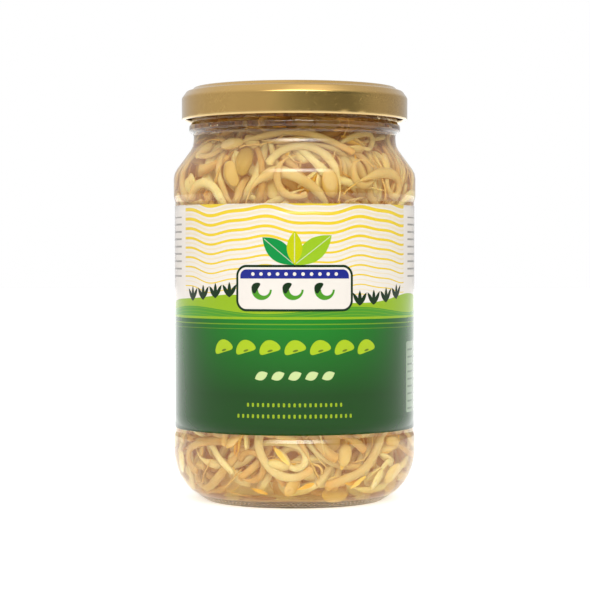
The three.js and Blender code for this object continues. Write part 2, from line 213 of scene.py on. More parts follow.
def rounded(corners):
    """Points of a line through (radius, height, rounding) corners, in millimetres."""
    points = [corners[0][:2]]
    for before, (x, z, rounding), after in zip(corners, corners[1:], corners[2:]):
        here = np.array((x, z))
        back = np.array(before[:2]) - here
        ahead = np.array(after[:2]) - here
        back_length = np.linalg.norm(back)
        ahead_length = np.linalg.norm(ahead)
        back = back / back_length
        ahead = ahead / ahead_length
        opening = math.acos(max(-1.0, min(1.0, float(back @ ahead))))
        turning = math.pi - opening
        if rounding == 0 or turning < 0.02:
            points.append((x, z))
            continue
        reach = min(rounding * math.tan(turning / 2), 0.49 * back_length, 0.49 * ahead_length)
        radius = reach / math.tan(turning / 2)
        bisector = (back + ahead) / np.linalg.norm(back + ahead)
        centre = here + bisector * radius / math.sin(opening / 2)
        start = here + back * reach - centre
        steps = max(2, round(turning / ARC_STEP))
        spin = 1 if start[0] * -back[1] - start[1] * -back[0] > 0 else -1
        for step in range(steps + 1):
            angle = spin * turning * step / steps
            turned = (
                start[0] * math.cos(angle) - start[1] * math.sin(angle),
                start[0] * math.sin(angle) + start[1] * math.cos(angle),
            )
            points.append((centre[0] + turned[0], centre[1] + turned[1]))
    points.append(corners[-1][:2])
    return points


def divided(points, longest):
    """The same line with no step longer than longest(radius, height)."""
    finer = [points[0]]
    for (x0, z0), (x1, z1) in zip(points, points[1:]):
        length = math.hypot(x1 - x0, z1 - z0)
        parts = max(1, math.ceil(length / longest((x0 + x1) / 2, (z0 + z1) / 2)))
        for part in range(1, parts + 1):
            share = part / parts
            finer.append((x0 + (x1 - x0) * share, z0 + (z1 - z0) * share))
    return finer


# %% Meshes
def mesh_piece(name, places, faces, slots=None, attributes=None):
    """An object from places in millimetres. Faces may have three or four corners."""
    mesh = bpy.data.meshes.new(name)
    mesh.from_pydata((np.asarray(places) * MM).tolist(), [], faces)
    mesh.polygons.foreach_set("use_smooth", [True] * len(mesh.polygons))
    if slots is not None:
        mesh.polygons.foreach_set("material_index", slots)
    for attribute, values in (attributes or {}).items():
        layer = mesh.attributes.new(attribute, "FLOAT", "POINT")
        layer.data.foreach_set("value", np.asarray(values, np.float32))
    mesh.update()
    piece = bpy.data.objects.new(name, mesh)
    bpy.context.scene.collection.objects.link(piece)
    return piece


def turned(name, profile, segments, push=None):
    """A profile turned about the axis. It starts and ends on the axis, or else it closes on itself."""
    radii = np.array([point[0] for point in profile])
    heights = np.array([point[1] for point in profile])
    angles = np.arange(segments) * 2 * math.pi / segments
    radius, angle = np.meshgrid(radii, angles, indexing="ij")
    height = np.repeat(heights[:, None], segments, axis=1)
    if push is not None:
        radius, height = push(angle, radius, height)
    places = []
    rings = []
    for row, base in enumerate(radii):
        count = 1 if base < 1e-6 else segments
        first = len(places)
        for column in range(count):
            spot = (radius[row, column], angle[row, column], height[row, column])
            places.append((spot[0] * math.cos(spot[1]), spot[0] * math.sin(spot[1]), spot[2]))
        rings.append([first + column % count for column in range(segments)])
    if radii[0] > 1e-6:
        rings.append(rings[0])
    faces = []
    for lower, upper in zip(rings, rings[1:]):
        for column in range(segments):
            following = (column + 1) % segments
            corners = (lower[column], lower[following], upper[following], upper[column])
            faces.append(tuple(dict.fromkeys(corners)))
    return mesh_piece(name, places, faces)


def finish_piece(piece, body, node, slot, *materials):
    """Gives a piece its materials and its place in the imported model."""
    for material in materials:
        piece.data.materials.append(material)
    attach(piece, body)
    if node:
        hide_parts(node)
    print(piece.name, len(piece.data.polygons), "faces on", body)


# %% [markdown]
# ## Glass
# Moulded soda-lime glass bends light by 1.52. A render that follows every lamp ray through curved glass
# takes far too long, so the shadow and diffuse rays pass straight through, and only what the eye
# sees is bent and mirrored. Where brine wets the glass, almost nothing is mirrored, because the two bend
# light nearly alike, so those faces get a finish with hardly any mirror in it. The thick glass of the
# heel is olive, and the glass at the threads is tinted brown as a painted shade of the lid.

# %% Clear volumes
def see_through(finish, share, tint=(1.0, 1.0, 1.0)):
    """Lets light pass straight through where the share is one."""
    passing = finish.tree.nodes.new("ShaderNodeBsdfTransparent")
    passing.inputs["Color"].default_value = (*tint, 1.0)
    mixed = finish.tree.nodes.new("ShaderNodeMixShader")
    plug(finish.tree, mixed.inputs[0], share)
    finish.tree.links.new(finish.shader.outputs[0], mixed.inputs[1])
    finish.tree.links.new(passing.outputs[0], mixed.inputs[2])
    output = finish.tree.nodes["Material Output"]
    finish.tree.links.new(mixed.outputs[0], output.inputs["Surface"])


def clear_volume(name, tint, bending, mirror=1.0):
    finish = Finish(
        name,
        Base_Color=tint,
        Roughness=0.0,
        IOR=bending,
        Transmission_Weight=1.0,
        Specular_Tint=(mirror, mirror, mirror),
    )
    path = finish.tree.nodes.new("ShaderNodeLightPath")
    shadow = Signal(finish.tree, path.outputs["Is Shadow Ray"])
    diffuse = Signal(finish.tree, path.outputs["Is Diffuse Ray"])
    see_through(finish, shadow.math("MAXIMUM", diffuse), tint)
    return finish


GLASS_BENDING = 1.52
BRINE_BENDING = 1.335
WETTED_MIRROR = 0.06
GLASS_TINT = (0.965, 0.980, 0.955)
HEEL_TINT = (0.86, 0.78, 0.40)
# Painted shade: the glass above the thread start is tinted brown, as if in the lid's shade.
THREAD_PAINTED_SHADE = (0.82, 0.76, 0.66)
HEEL_TINT_ENDS = 0.0080
HEEL_TINT_RISE = 300.0
THREAD_PAINTED_SHADE_STARTS = 0.1080
THREAD_PAINTED_SHADE_RISE = 400.0
glass_finish = clear_volume("jar_glass", GLASS_TINT, GLASS_BENDING)
wetted_finish = clear_volume("wetted_glass", GLASS_TINT, GLASS_BENDING, WETTED_MIRROR)
KNURL_COUNT = 124
KNURL_ROWS_MM = 0.6
KNURL_TOP = 0.0021
KNURL_SHARE = 1.8


def knurled(finish):
    """Rows of small dots round the bearing ring, each row set half a dot on from the one below."""
    x, y, z = finish.parts(finish.place())
    around = x.math("ARCTAN2", y) * KNURL_COUNT
    rows = z * (1000.0 / KNURL_ROWS_MM)
    half_turn = rows.math("FLOOR") * math.pi
    across = (around + half_turn).math("SINE") * 0.5 + 0.5
    upward = (rows * math.pi).math("SINE").math("ABSOLUTE")
    return across * across * upward * z.ramp(KNURL_TOP, -4000.0)


def glass_colours(finish):
    """Thick glass at the heel shows its olive tint, and the glass at the threads gets a painted shade of the
    lid.
    """
    height = finish.parts(finish.place())[2]
    heel = height.ramp(HEEL_TINT_ENDS, -HEEL_TINT_RISE)
    # Painted shade of the lid on the glass at the threads.
    threads = height.ramp(THREAD_PAINTED_SHADE_STARTS, THREAD_PAINTED_SHADE_RISE)
    finish.set("Base Color", finish.mix(threads, finish.mix(heel, GLASS_TINT, HEEL_TINT), THREAD_PAINTED_SHADE))


for finish in (glass_finish, wetted_finish):
    glass_colours(finish)
    finish.bump(finish.noise(38.0, detail=2.0) * 0.12 + knurled(finish) * KNURL_SHARE, 0.00035, 1.0)
brine_finish = clear_volume("brine", (1.0, 0.93, 0.73), BRINE_BENDING, WETTED_MIRROR)
brine_finish.bump(brine_finish.noise(60.0, detail=2.0), 0.0002, 0.05)

# %% [markdown]
# ## The glass jar
# The outside has two slightly fuller bands that keep the label from rubbing, a sloping shoulder, a bead
# under the lid, and four thread ramps. The bearing ring at the base is knurled with rows of small dots,
# and the heel carries a few small mould marks. All of these are pushed out of one turned surface, so the
# jar stays one clean closed volume, as refraction needs.

# %% Sizes of the glass
BODY_RADIUS = 36.0
PANEL_RADIUS = 35.55
NECK_RADIUS = 30.0
BEAD_RADIUS = 31.4
FINISH_RADIUS = 30.6
LIP_TOP = 120.6
MOUTH_RADIUS = 26.9
INSIDE_RADIUS = 33.4
FLOOR_HEIGHT = 4.6
FILL_LEVEL = 115.0
GLASS_SEGMENTS = 420

outside_corners = [
    (0, 2.6, 0),
    (15.0, 2.1, 10),
    (21.5, 0.25, 2),
    (22.8, 0.0, 0.6),
    (26.0, 0.0, 0.8),
    (27.4, 0.9, 1.5),
    (31.2, 3.3, 8),
    (34.6, 7.6, 12),
    (BODY_RADIUS, 13.2, 14),
    (BODY_RADIUS, 19.4, 1.5),
    (PANEL_RADIUS, 20.7, 1.2),
    (PANEL_RADIUS, 88.4, 1.2),
    (BODY_RADIUS, 90.2, 1.5),
    (BODY_RADIUS, 97.0, 5),
    (30.2, 104.9, 4.5),
    (NECK_RADIUS, 108.6, 1.2),
    (BEAD_RADIUS, 109.4, 1.0),
    (BEAD_RADIUS, 111.1, 0.9),
    (FINISH_RADIUS, 111.9, 0.6),
    (FINISH_RADIUS, LIP_TOP, 1.1),
]
inside_corners = [
    (MOUTH_RADIUS, LIP_TOP, 1.6),
    (MOUTH_RADIUS, 106.4, 7),
    (INSIDE_RADIUS, 95.6, 9),
    (INSIDE_RADIUS, 11.0, 11),
    (28.6, 3.7, 5),
    (20.0, 3.3, 8),
    (0, FLOOR_HEIGHT, 0),
]
inside_line = rounded([(MOUTH_RADIUS + 1.0, LIP_TOP, 0)] + inside_corners)


def inside_radius(height):
    """Radius of the inside of the glass at a height, in millimetres."""
    line = sorted((z, x) for x, z in inside_line[1:] if x > 20)
    return np.interp(height, [z for z, x in line], [x for z, x in line])


# %% What isn't round on the glass
THREAD_OUT = 1.6
THREAD_BASE = 114.8
THREAD_HEIGHT = 1.7
LID_TURN_DEG = 70
LID_RISE = 2.3
FIRST_LUG_DEG = 30
LUGS_APART_DEG = 90
KNURL_PITCH = 1.35
KNURL_ROW = 0.62
KNURL_OUT = 0.12
MARK_OUT = 0.10
MARKS = [(3.2, 7.4, 0.5), (5.4, 7.2, 0.4), (7.4, 7.5, 0.5), (9.6, 6.3, 0.4), (11.4, 6.2, 0.4)]


def smooth_step(value):
    value = np.clip(value, 0.0, 1.0)
    return value * value * (3 - 2 * value)


def glass_push(angle, radius, height):
    """Thread ramps at the top, knurled dots at the base and mould marks on the heel."""
    outer = radius > np.where(height > 100, 29.5, 22.0)
    turn = (np.degrees(angle) - FIRST_LUG_DEG + 8) % LUGS_APART_DEG
    along = smooth_step(turn / 4) * smooth_step((66 - turn) / 4)
    middle = THREAD_BASE + THREAD_HEIGHT / 2 + LID_RISE / LID_TURN_DEG * turn
    across = smooth_step(1.45 - np.abs(height - middle) / (THREAD_HEIGHT / 2))
    ramps = THREAD_OUT * along * across * (height > 112.5)
    count = round(2 * math.pi * 26.5 / KNURL_PITCH)
    row = np.floor(height / KNURL_ROW)
    dots = np.sin(count / 2 * angle + math.pi / 2 * row) ** 6
    rows = np.abs(np.sin(math.pi * height / KNURL_ROW)) ** 0.8
    knurl = KNURL_OUT * dots * rows * smooth_step(height / 0.1) * smooth_step((2.0 - height) / 0.3)
    marks = np.zeros_like(radius)
    sideways = np.degrees(np.arctan2(np.cos(angle), -np.sin(angle))) * math.radians(1) * 33
    for place, level, size in MARKS:
        distance = np.hypot(sideways - place, height - level)
        marks += MARK_OUT * smooth_step(1.6 - distance / size) * (height < 12)
    lift = np.where(outer & (height < 14), knurl + marks, 0.0)
    return radius + lift + ramps * outer, height


def glass_spacing(radius, height):
    if radius < 22:
        return 4.0
    if height > 112.5 and radius > 29:
        return 0.45
    if height < 2.2:
        return 0.16
    return 0.6 if height < 10 and radius > 27 else 5.0


profile = rounded(outside_corners + inside_corners)
jar = turned("jar_of_glass", divided(profile, glass_spacing), GLASS_SEGMENTS, glass_push)
wetted = 0
for face in jar.data.polygons:
    middle = face.center / MM
    across = math.hypot(middle.x, middle.y)
    on_wall = middle.z > 12 and across < inside_radius(middle.z) + 0.5
    on_floor = middle.z <= 12 and middle.z > 3.4 and across < inside_radius(middle.z) + 0.5
    if middle.z < FILL_LEVEL and (on_wall or on_floor) and face.normal.z > -0.9:
        face.material_index = 1
        wetted += 1
print("wetted faces:", wetted)
finish_piece(jar, "jar", "glass_jar", "glass", glass_finish.material, wetted_finish.material)

# %% [markdown]
# ## The brine
# The liquid fills the jar up to the neck. Its side goes a hair into the glass, so that no film of air is
# left between them: such a film would turn the whole jar into a mirror. Its top curls up a little where
# it wets the glass.

# %% The brine
WETTING = 0.03
brine_wall = [(x + WETTING, z) for x, z in inside_line if z < FILL_LEVEL + 0.9 and x > 20]
brine_top = [(0, FILL_LEVEL, 0), (24.6, FILL_LEVEL, 0), (26.1, FILL_LEVEL + 0.25, 1.0)]
brine_top.append((MOUTH_RADIUS + WETTING, FILL_LEVEL + 0.9, 0))
floor_line = [(x, z - WETTING) for x, z in inside_line if z < 8 and x <= 20]
brine_profile = floor_line[::-1] + brine_wall[::-1] + rounded(brine_top)[::-1]
brine = turned("brine_volume", divided(brine_profile, lambda x, z: 6.0), 160)
finish_piece(brine, "jar", "brine", "brine", brine_finish.material)

# %% [markdown]
# ## How the sprouts lie
# Hundreds of sprouts are pressed against each other and against the glass. Dropping them in a physics
# simulation would take minutes, and a plain scatter would cut them through each other. So the heap is
# laid from the glass inwards. The first sprouts touch the glass, whole and in full view, and each later
# one passes behind those that are already there. A map says how deep the sprouts already reach at each
# spot. The side of the jar has one map wrapped round it, and the two ends have a flat map each. Fresh
# sprouts are soft: where at most a quarter of a piece would lie too deep, it is pressed outwards until it
# fits.

# %% A map of the heap
random.seed(20)
CELL = 0.5
PACKING = 0.5
SUNK_AT_MOST = 0.3
CROWDED_SHARE = 0.25


class Heap:
    """How deep the sprouts reach in from the glass over a grid of places, in millimetres."""

    def __init__(self, wall, columns, pitches, depth, to_space):
        self.wall = wall
        self.reach = np.zeros((len(wall), columns))
        self.depth = depth
        self.pitches = pitches
        self.to_space = to_space

    def around(self, row, column, width):
        """The cells within a width of a spot, a round piece's rise there, and the slant of the wall."""
        count_rows, count_columns = self.reach.shape
        pitch = self.pitches[min(count_rows - 1, max(0, round(row)))]
        span = max(width, CELL)
        low = max(0, math.ceil(row - span / CELL))
        high = min(count_rows - 1, math.floor(row + span / CELL))
        rows = np.arange(low, high + 1)[:, None]
        columns = np.arange(math.ceil(column - span / pitch), math.floor(column + span / pitch) + 1)[None, :]
        apart = np.hypot((rows - row) * CELL, (columns - column) * pitch)
        rise = np.sqrt(width * width - np.minimum(apart, width) ** 2)
        slant = np.interp(row, np.arange(count_rows), self.wall) - self.wall[rows]
        return (rows, columns % count_columns), rise, slant, apart < width

    def settle(self, rows, columns, widths):
        """How deep each point of a new piece lies, or None where the heap is full."""
        needed = np.zeros(len(rows))
        clear = np.zeros(len(rows))
        for place, (row, column, width) in enumerate(zip(rows, columns, widths)):
            cells, rise, slant, _ = self.around(row, column, width)
            clear[place] = np.max(rise + slant)
            needed[place] = max(clear[place], np.max(self.reach[cells] + rise * PACKING + slant))
        if np.mean(needed > self.depth - widths) > CROWDED_SHARE:
            return None
        needed = np.minimum(needed, self.depth - widths)
        for _ in range(3):
            padded = np.pad(needed, 1, mode="edge")
            needed = np.maximum(needed, (padded[:-2] + padded[2:]) / 2)
        padded = np.pad(needed, 2, mode="edge")
        smoothed = sum(padded[shift:shift + len(needed)] for shift in range(5)) / 5
        return np.maximum(np.maximum(smoothed, needed - SUNK_AT_MOST), clear)

    def room(self, rows, columns):
        """The mean depth that is left along a line."""
        rows = np.clip(np.rint(rows), 0, len(self.reach) - 1).astype(int)
        columns = np.rint(columns).astype(int) % self.reach.shape[1]
        return self.depth - float(np.mean(self.reach[rows, columns]))

    def pile(self, rows, columns, widths, depths):
        for row, column, width, depth in zip(rows, columns, widths, depths):
            cells, rise, slant, near = self.around(row, column, width)
            here = self.reach[cells]
            self.reach[cells] = np.where(near, np.maximum(here, depth + rise - slant), here)


# %% The side of the jar and its two ends
LOWEST = 4.0
HIGHEST = 114.0
COLUMNS_ROUND = 400
HEAP_DEPTH = 8.0
END_RADIUS = 19.0
END_DEPTH = 6.0
GLASS_CLEARANCE = 0.25

side_heights = np.arange(LOWEST, HIGHEST, CELL)
side_wall = inside_radius(side_heights) - GLASS_CLEARANCE


def side_space(rows, columns, depths):
    angle = columns / COLUMNS_ROUND * 2 * math.pi
    flat = np.stack([np.cos(angle), np.sin(angle), np.zeros_like(angle)], axis=-1)
    upright = np.zeros_like(flat)
    upright[..., 2] = rows * CELL + LOWEST
    radius = np.interp(rows, np.arange(len(side_wall)), side_wall) - depths
    return flat * radius[..., None] + upright, flat


def end_space(level, inward):
    def to_space(rows, columns, depths):
        x = columns * CELL - END_RADIUS
        y = rows * CELL - END_RADIUS
        outward = np.zeros((len(x), 3))
        outward[:, 2] = -inward
        return np.stack([x, y, level + inward * depths], axis=1), outward

    return to_space


side_pitches = 2 * math.pi * side_wall / COLUMNS_ROUND
side = Heap(side_wall, COLUMNS_ROUND, side_pitches, HEAP_DEPTH, side_space)
end_cells = round(2 * END_RADIUS / CELL) + 1
flat_wall = np.zeros(end_cells)
end_pitches = np.full(end_cells, CELL)
floor_level = FLOOR_HEIGHT + GLASS_CLEARANCE + 0.1
bottom = Heap(flat_wall, end_cells, end_pitches, END_DEPTH, end_space(floor_level, 1))
top = Heap(flat_wall, end_cells, end_pitches, END_DEPTH, end_space(HIGHEST, -1))
print("cells round the side:", side.reach.shape)

# %% [markdown]
# ## The line of a sprout
# A bean sprout is a thick pale stem. Some are nearly straight, many are bowed or hooked, and a few
# are curled into a loop. Each line is drawn flat, by a turning rate that is nearly constant, and is then
# laid on the heap. That gives smooth bends with no corners, as a growing stem has.

# %% Lines of the sprouts
KINDS = {
    "slender": {"share": 0.30, "length": (26, 46), "width": (0.85, 1.3), "turning": (0.0, 0.05)},
    "bowed": {"share": 0.20, "length": (24, 40), "width": (1.0, 1.55), "turning": (0.04, 0.11)},
    "hooked": {"share": 0.24, "length": (22, 38), "width": (1.0, 1.5), "turning": (0.02, 0.07)},
    "looped": {"share": 0.10, "length": (18, 30), "width": (0.85, 1.25), "turning": (0.17, 0.28)},
    "plump": {"share": 0.08, "length": (14, 24), "width": (1.5, 1.95), "turning": (0.02, 0.10)},
    "broken": {"share": 0.08, "length": (6, 13), "width": (0.9, 1.5), "turning": (0.0, 0.10)},
}
UPRIGHT_SPREAD = 0.85
STEP = 1.25
HOOK_STARTS = 0.62
HOOK_TURNING = 0.27


def flat_line(kind):
    """A flat line about its own middle, in steps of equal length."""
    facts = KINDS[kind]
    turning = random.uniform(*facts["turning"]) * random.choice((-1, 1))
    count = max(8, round(random.uniform(*facts["length"]) / STEP))
    sway = random.uniform(0.0, 0.05)
    phase = random.uniform(0, 2 * math.pi)
    along = np.arange(count) / count
    bend = turning + sway * np.sin(phase + along * 9)
    if kind == "hooked":
        bend = bend + np.where(along > HOOK_STARTS, math.copysign(HOOK_TURNING, turning), 0)
    start = random.choice((-1, 1)) * math.pi / 2 + random.gauss(0, UPRIGHT_SPREAD) - bend.sum() * STEP / 2
    heading = start + np.cumsum(bend * STEP)
    line = STEP * np.cumsum(np.stack([np.cos(heading), np.sin(heading)], axis=1), axis=0)
    return line - (line.max(0) + line.min(0)) / 2


def stem_widths(count, width, rooted, headed):
    """Radius along a stem: thin where the root starts, thick in the middle, slimmer at the neck."""
    share = np.linspace(0, 1, count)
    root = 0.17 + 0.83 * smooth_step((share - 0.12) / 0.26) if rooted else np.ones(count)
    neck = 1.0 - 0.30 * smooth_step((share - 0.66) / 0.34) if headed else np.ones(count)
    swelling = 1 + 0.04 * np.sin(share * random.uniform(8, 18) + random.uniform(0, 6))
    return width * root * neck * swelling


# %% [markdown]
# ## The parts of a sprout
# A stem is a closed tube. At its top sit two seed leaves, the halves of the bean, often a little open,
# and some hold the first yellow leaves. Everything of one stretch of the jar goes into one mesh, because
# one mesh with a hundred sprouts loads faster than a hundred objects.

# %% One mesh for many small things
class Bunch:
    def __init__(self):
        self.places = []
        self.faces = []
        self.slots = []
        self.along = []
        self.chance = []

    def add(self, slot, places, faces, along):
        first = len(self.places)
        self.places.extend(places)
        self.faces.extend(tuple(first + corner for corner in face) for face in faces)
        self.slots.extend([slot] * len(faces))
        self.along.extend(along)
        self.chance.extend([random.random()] * len(places))

    def piece(self, name):
        attributes = {"along": self.along, "chance": self.chance}
        return mesh_piece(name, self.places, self.faces, self.slots, attributes)


def unit(vectors):
    return vectors / np.linalg.norm(vectors, axis=-1, keepdims=True)


def axes_along(line, outward):
    """Forward, outward and sideways directions at each point of a line."""
    forward = unit(np.gradient(line, axis=0))
    out = unit(outward - forward * np.sum(outward * forward, axis=1)[:, None])
    return forward, out, np.cross(forward, out)


def ringed_faces(rings, sides):
    """Faces of a tube whose first and last points are its two poles."""
    last = 1 + rings * sides
    faces = []
    for corner in range(sides):
        following = (corner + 1) % sides
        faces.append((0, 1 + following, 1 + corner))
        faces.append((last - sides + corner, last - sides + following, last))
        for low in range(1, 1 + (rings - 1) * sides, sides):
            faces.append((low + corner, low + following, low + sides + following, low + sides + corner))
    return faces


def tube(line, outward, widths, flatness=1.0, sides=10, finer=2):
    """A closed tube, with more rings than its line has points. It may be flatter than it is wide."""
    spots = np.linspace(0, len(line) - 1, (len(line) - 1) * finer + 1)
    base = np.arange(len(line))
    line = np.stack([np.interp(spots, base, line[:, axis]) for axis in range(3)], axis=1)
    for _ in range(finer):
        line[1:-1] = (line[:-2] + line[2:] + 2 * line[1:-1]) / 4
    outward = np.stack([np.interp(spots, base, outward[:, axis]) for axis in range(3)], axis=1)
    widths = np.interp(spots, base, widths)[:, None, None]
    forward, out, across = axes_along(line, outward)
    turns = np.arange(sides) * 2 * math.pi / sides
    out_part = np.cos(turns)[None, :, None] * out[:, None, :] * flatness
    spokes = out_part + np.sin(turns)[None, :, None] * across[:, None, :]
    body = (line[:, None, :] + widths * spokes).reshape(-1, 3)
    tips = line[0] - forward[0] * widths[0, 0] * 0.6, line[-1] + forward[-1] * widths[-1, 0] * 0.6
    along = np.concatenate([[0], np.repeat(np.linspace(0, 1, len(line)), sides), [1]])
    return [tips[0], *body, tips[1]], ringed_faces(len(line), sides), along


# %% Seed leaves, leaf buds and skins
BALL_RINGS = 8
BALL_SIDES = 14
BLADE_POINTS = 10
BLADE_THICK = 0.17
ball_polar = np.repeat(np.arange(1, BALL_RINGS + 1) / (BALL_RINGS + 1) * math.pi, BALL_SIDES)
ball_turn = np.tile(np.arange(BALL_SIDES) / BALL_SIDES * 2 * math.pi, BALL_RINGS)
ball_x = np.sin(ball_polar) * np.cos(ball_turn)
ball_y = np.sin(ball_polar) * np.sin(ball_turn)
ball_round = np.stack([ball_x, ball_y, -np.cos(ball_polar)], axis=1)
BALL = np.concatenate([[(0, 0, -1)], ball_round, [(0, 0, 1)]])
BALL_FACES = ringed_faces(BALL_RINGS, BALL_SIDES)


def seed_leaves(bunch, base, axes, size, opening, halves=(-1, 1)):
    """The halves of the bean: plump ovals, nearly flat on their inner sides."""
    forward, out, across = axes
    for half in halves:
        broad = BALL[:, 0] * size * 0.58
        rise = (BALL[:, 2] + 1) * size * 0.92
        thick = BALL[:, 1] * size * np.where(BALL[:, 1] * half > 0, 0.40, 0.06)
        lean = half * (size * 0.05 + 0.09 * rise * rise / size) + thick
        lifted = rise * math.cos(opening) - half * lean * math.sin(opening)
        sideways = lean * math.cos(opening) + half * rise * math.sin(opening)
        places = base + lifted[:, None] * forward + broad[:, None] * out + sideways[:, None] * across
        bunch.add(SEED_LEAF, list(places), BALL_FACES, (BALL[:, 2] + 1) / 2)


def leaf_blade(bunch, base, axes, length, lean, slimness=0.17):
    """A small pointed leaf, folded along its middle, bent over and crumpled at its edges."""
    forward, out, across = axes
    stations = np.linspace(0, 1, BLADE_POINTS)
    half = length * slimness * np.sin(math.pi * np.clip(0.10 + stations * 0.86, 0, 1)) ** 0.8
    curl = random.uniform(-0.25, 0.35)
    middle = base + length * (
        stations[:, None] * forward + (lean * stations + curl * stations ** 2)[:, None] * across
    )
    turns = np.arange(BLADE_POINTS) * 2 * math.pi / BLADE_POINTS
    ripple = np.sin(stations * random.uniform(9, 15) + random.uniform(0, 6))
    crumple = 0.22 * ripple[:, None] * np.sign(np.cos(turns))
    fold = (random.uniform(0.4, 0.9) + crumple) * half[:, None] * np.abs(np.cos(turns))
    thick = BLADE_THICK * np.sin(turns)
    body = middle[:, None, :] + (half[:, None] * np.cos(turns))[..., None] * out
    body = body + (fold + thick)[..., None] * across
    places = [middle[0], *body.reshape(-1, 3), middle[-1] + forward * 0.2]
    along = np.concatenate([[0], np.repeat(stations, BLADE_POINTS), [1]])
    bunch.add(YELLOW_LEAF, places, ringed_faces(BLADE_POINTS, BLADE_POINTS), along)


def bean_skin(bunch, base, axes, size):
    """The shed skin of a bean: a wide shallow oval shell, dimpled on its outside."""
    forward, out, across = axes
    dimple = 0.10 * size * np.exp(-((BALL[:, 0] - 0.2) ** 2 + BALL[:, 2] ** 2) * 7)
    high = BALL[:, 1] * size * 0.42 - dimple * (BALL[:, 1] > 0)
    places = base + np.outer(BALL[:, 2] * size, forward) + np.outer(high, out)
    places = places + np.outer(BALL[:, 0] * size * 0.62, across)
    bunch.add(SKIN, list(places), BALL_FACES, (BALL[:, 2] + 1) / 2)


# %% Laying a sprout
STEM, SEED_LEAF, YELLOW_LEAF, ROOT, SKIN, CORE = range(6)
SPOTS_TRIED = 14
IN_SIGHT = 3.2
LABEL_HIDES = (27.0, 82.0)
HEADED_SHARE = 0.5
ROOTED_SHARE = 0.6
LEAFY_SHARE = 0.35
TANGLES = 5
tangle_tops = [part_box(f"sprout_tangle_{index + 1}")[1][2] / MM for index in range(TANGLES)]
bunches = [Bunch() for _ in range(TANGLES)]


def bunch_at(line):
    height = float(np.mean(line[:, 2]))
    return bunches[min(TANGLES - 1, sum(height > level for level in tangle_tops))]


def fineness(heap, line, depths):
    """Sides and rings of a stem: fewer behind the label, and where others hide it."""
    height = float(np.mean(line[:, 2]))
    hidden = LABEL_HIDES[0] < height < LABEL_HIDES[1] or heap is not side
    if hidden or float(np.mean(depths)) > IN_SIGHT:
        return {"sides": 6, "finer": 1}
    return {"sides": 11, "finer": 2}


def spot_on(heap, flat, margin):
    """Grid places for a flat line somewhere on a heap, or None where it would reach over the rim."""
    if heap is side:
        height = random.uniform(LOWEST, HIGHEST)
        rows = (height + flat[:, 1] - LOWEST) / CELL
        if rows.min() < margin / CELL or rows.max() > len(side_heights) - 1 - margin / CELL:
            return None
        pitch = np.interp(rows, np.arange(len(side_heights)), side.pitches)
        return rows, random.uniform(0, COLUMNS_ROUND) + flat[:, 0] / pitch
    spot = random.uniform(0, END_RADIUS * 0.95)
    turn = random.uniform(0, 2 * math.pi)
    moved = flat + spot * np.array((math.cos(turn), math.sin(turn)))
    if np.hypot(moved[:, 0], moved[:, 1]).max() > END_RADIUS - margin:
        return None
    return (moved[:, 1] + END_RADIUS) / CELL, (moved[:, 0] + END_RADIUS) / CELL


def emptiest(heap, flat, margin):
    """Of several spots for a line, the one with the most room left."""
    spots = [spot_on(heap, flat, margin) for _ in range(SPOTS_TRIED)]
    spots = [spot for spot in spots if spot is not None]
    return max(spots, key=lambda spot: heap.room(*spot), default=None)


def lay_line(heap, flat, widths):
    """Lays a line on a heap: its places, its outward directions and its depths, or None."""
    spot = emptiest(heap, flat, float(widths.max()))
    depths = None if spot is None else heap.settle(*spot, widths)
    if depths is None:
        return None
    heap.pile(*spot, widths, depths)
    return (*heap.to_space(*spot, depths), depths)


def lay_sprout(heap, kinds=tuple(KINDS)):
    kind = random.choices(kinds, [KINDS[name]["share"] for name in kinds])[0]
    width = random.uniform(*KINDS[kind]["width"])
    flat = flat_line(kind)
    headed = random.random() < HEADED_SHARE
    count = len(flat)
    widths = stem_widths(count, width, random.random() < ROOTED_SHARE, headed)
    size = random.uniform(3.2, 4.5)
    if headed:
        extra = np.arange(1, round(size * 1.75 / STEP) + 1)[:, None]
        flat = np.concatenate([flat, flat[-1] + (flat[-1] - flat[-2]) * extra])
        widths = np.append(widths, np.full(len(extra), size * 0.55))
    laid = lay_line(heap, flat, widths)
    if laid is None:
        return 0
    line, outward, depths = laid
    bunch = bunch_at(line)
    flatness = random.uniform(0.78, 1.0)
    detail = fineness(heap, line, depths)
    bunch.add(STEM, *tube(line[:count], outward[:count], widths[:count], flatness, **detail))
    if headed:
        forward, out, across = (directions[count] for directions in axes_along(line, outward))
        roll = random.uniform(-1.5, 1.5)
        rolled_out = out * math.cos(roll) + across * math.sin(roll)
        axes = (forward, rolled_out, across * math.cos(roll) - out * math.sin(roll))
        seed_leaves(bunch, line[count - 1], axes, size, random.uniform(0.02, 0.30))
        if random.random() < LEAFY_SHARE:
            for lean in (-0.22, 0.22):
                length = size * random.uniform(1.9, 2.4)
                leaf_blade(bunch, line[count - 1], axes, length, lean)
    return 1


# %% [markdown]
# ## Small things between the sprouts
# Single halves of the beans, small yellow leaves, shed skins and thin wandering roots are laid in among
# the sprouts by the same rule. Three beans that never sprouted stand against the glass, in their olive
# skins. After the long sprouts, short ones are tried in the gaps that are left, and the ends come last.

# %% Laying the small things
WHOLE_BEANS = [(242, 99), (75, 97), (130, 14)]
WHOLE_BEAN_SIZE = 4.3


def straight(length, count):
    heading = random.uniform(0, 2 * math.pi)
    direction = np.array((math.cos(heading), math.sin(heading)))
    return np.linspace(-length / 2, length / 2, count)[:, None] * direction


def lay_half_bean():
    length = random.uniform(6.0, 8.2)
    laid = lay_line(side, straight(length, 4), np.full(4, 1.35))
    if laid is None:
        return 0
    line, outward = laid[:2]
    forward, out, across = (directions[0] for directions in axes_along(line, outward))
    axes = (forward, across, out * random.choice((-1, 1)))
    seed_leaves(bunch_at(line), line[0], axes, length / 1.84, 0.0, halves=(1,))
    return 1


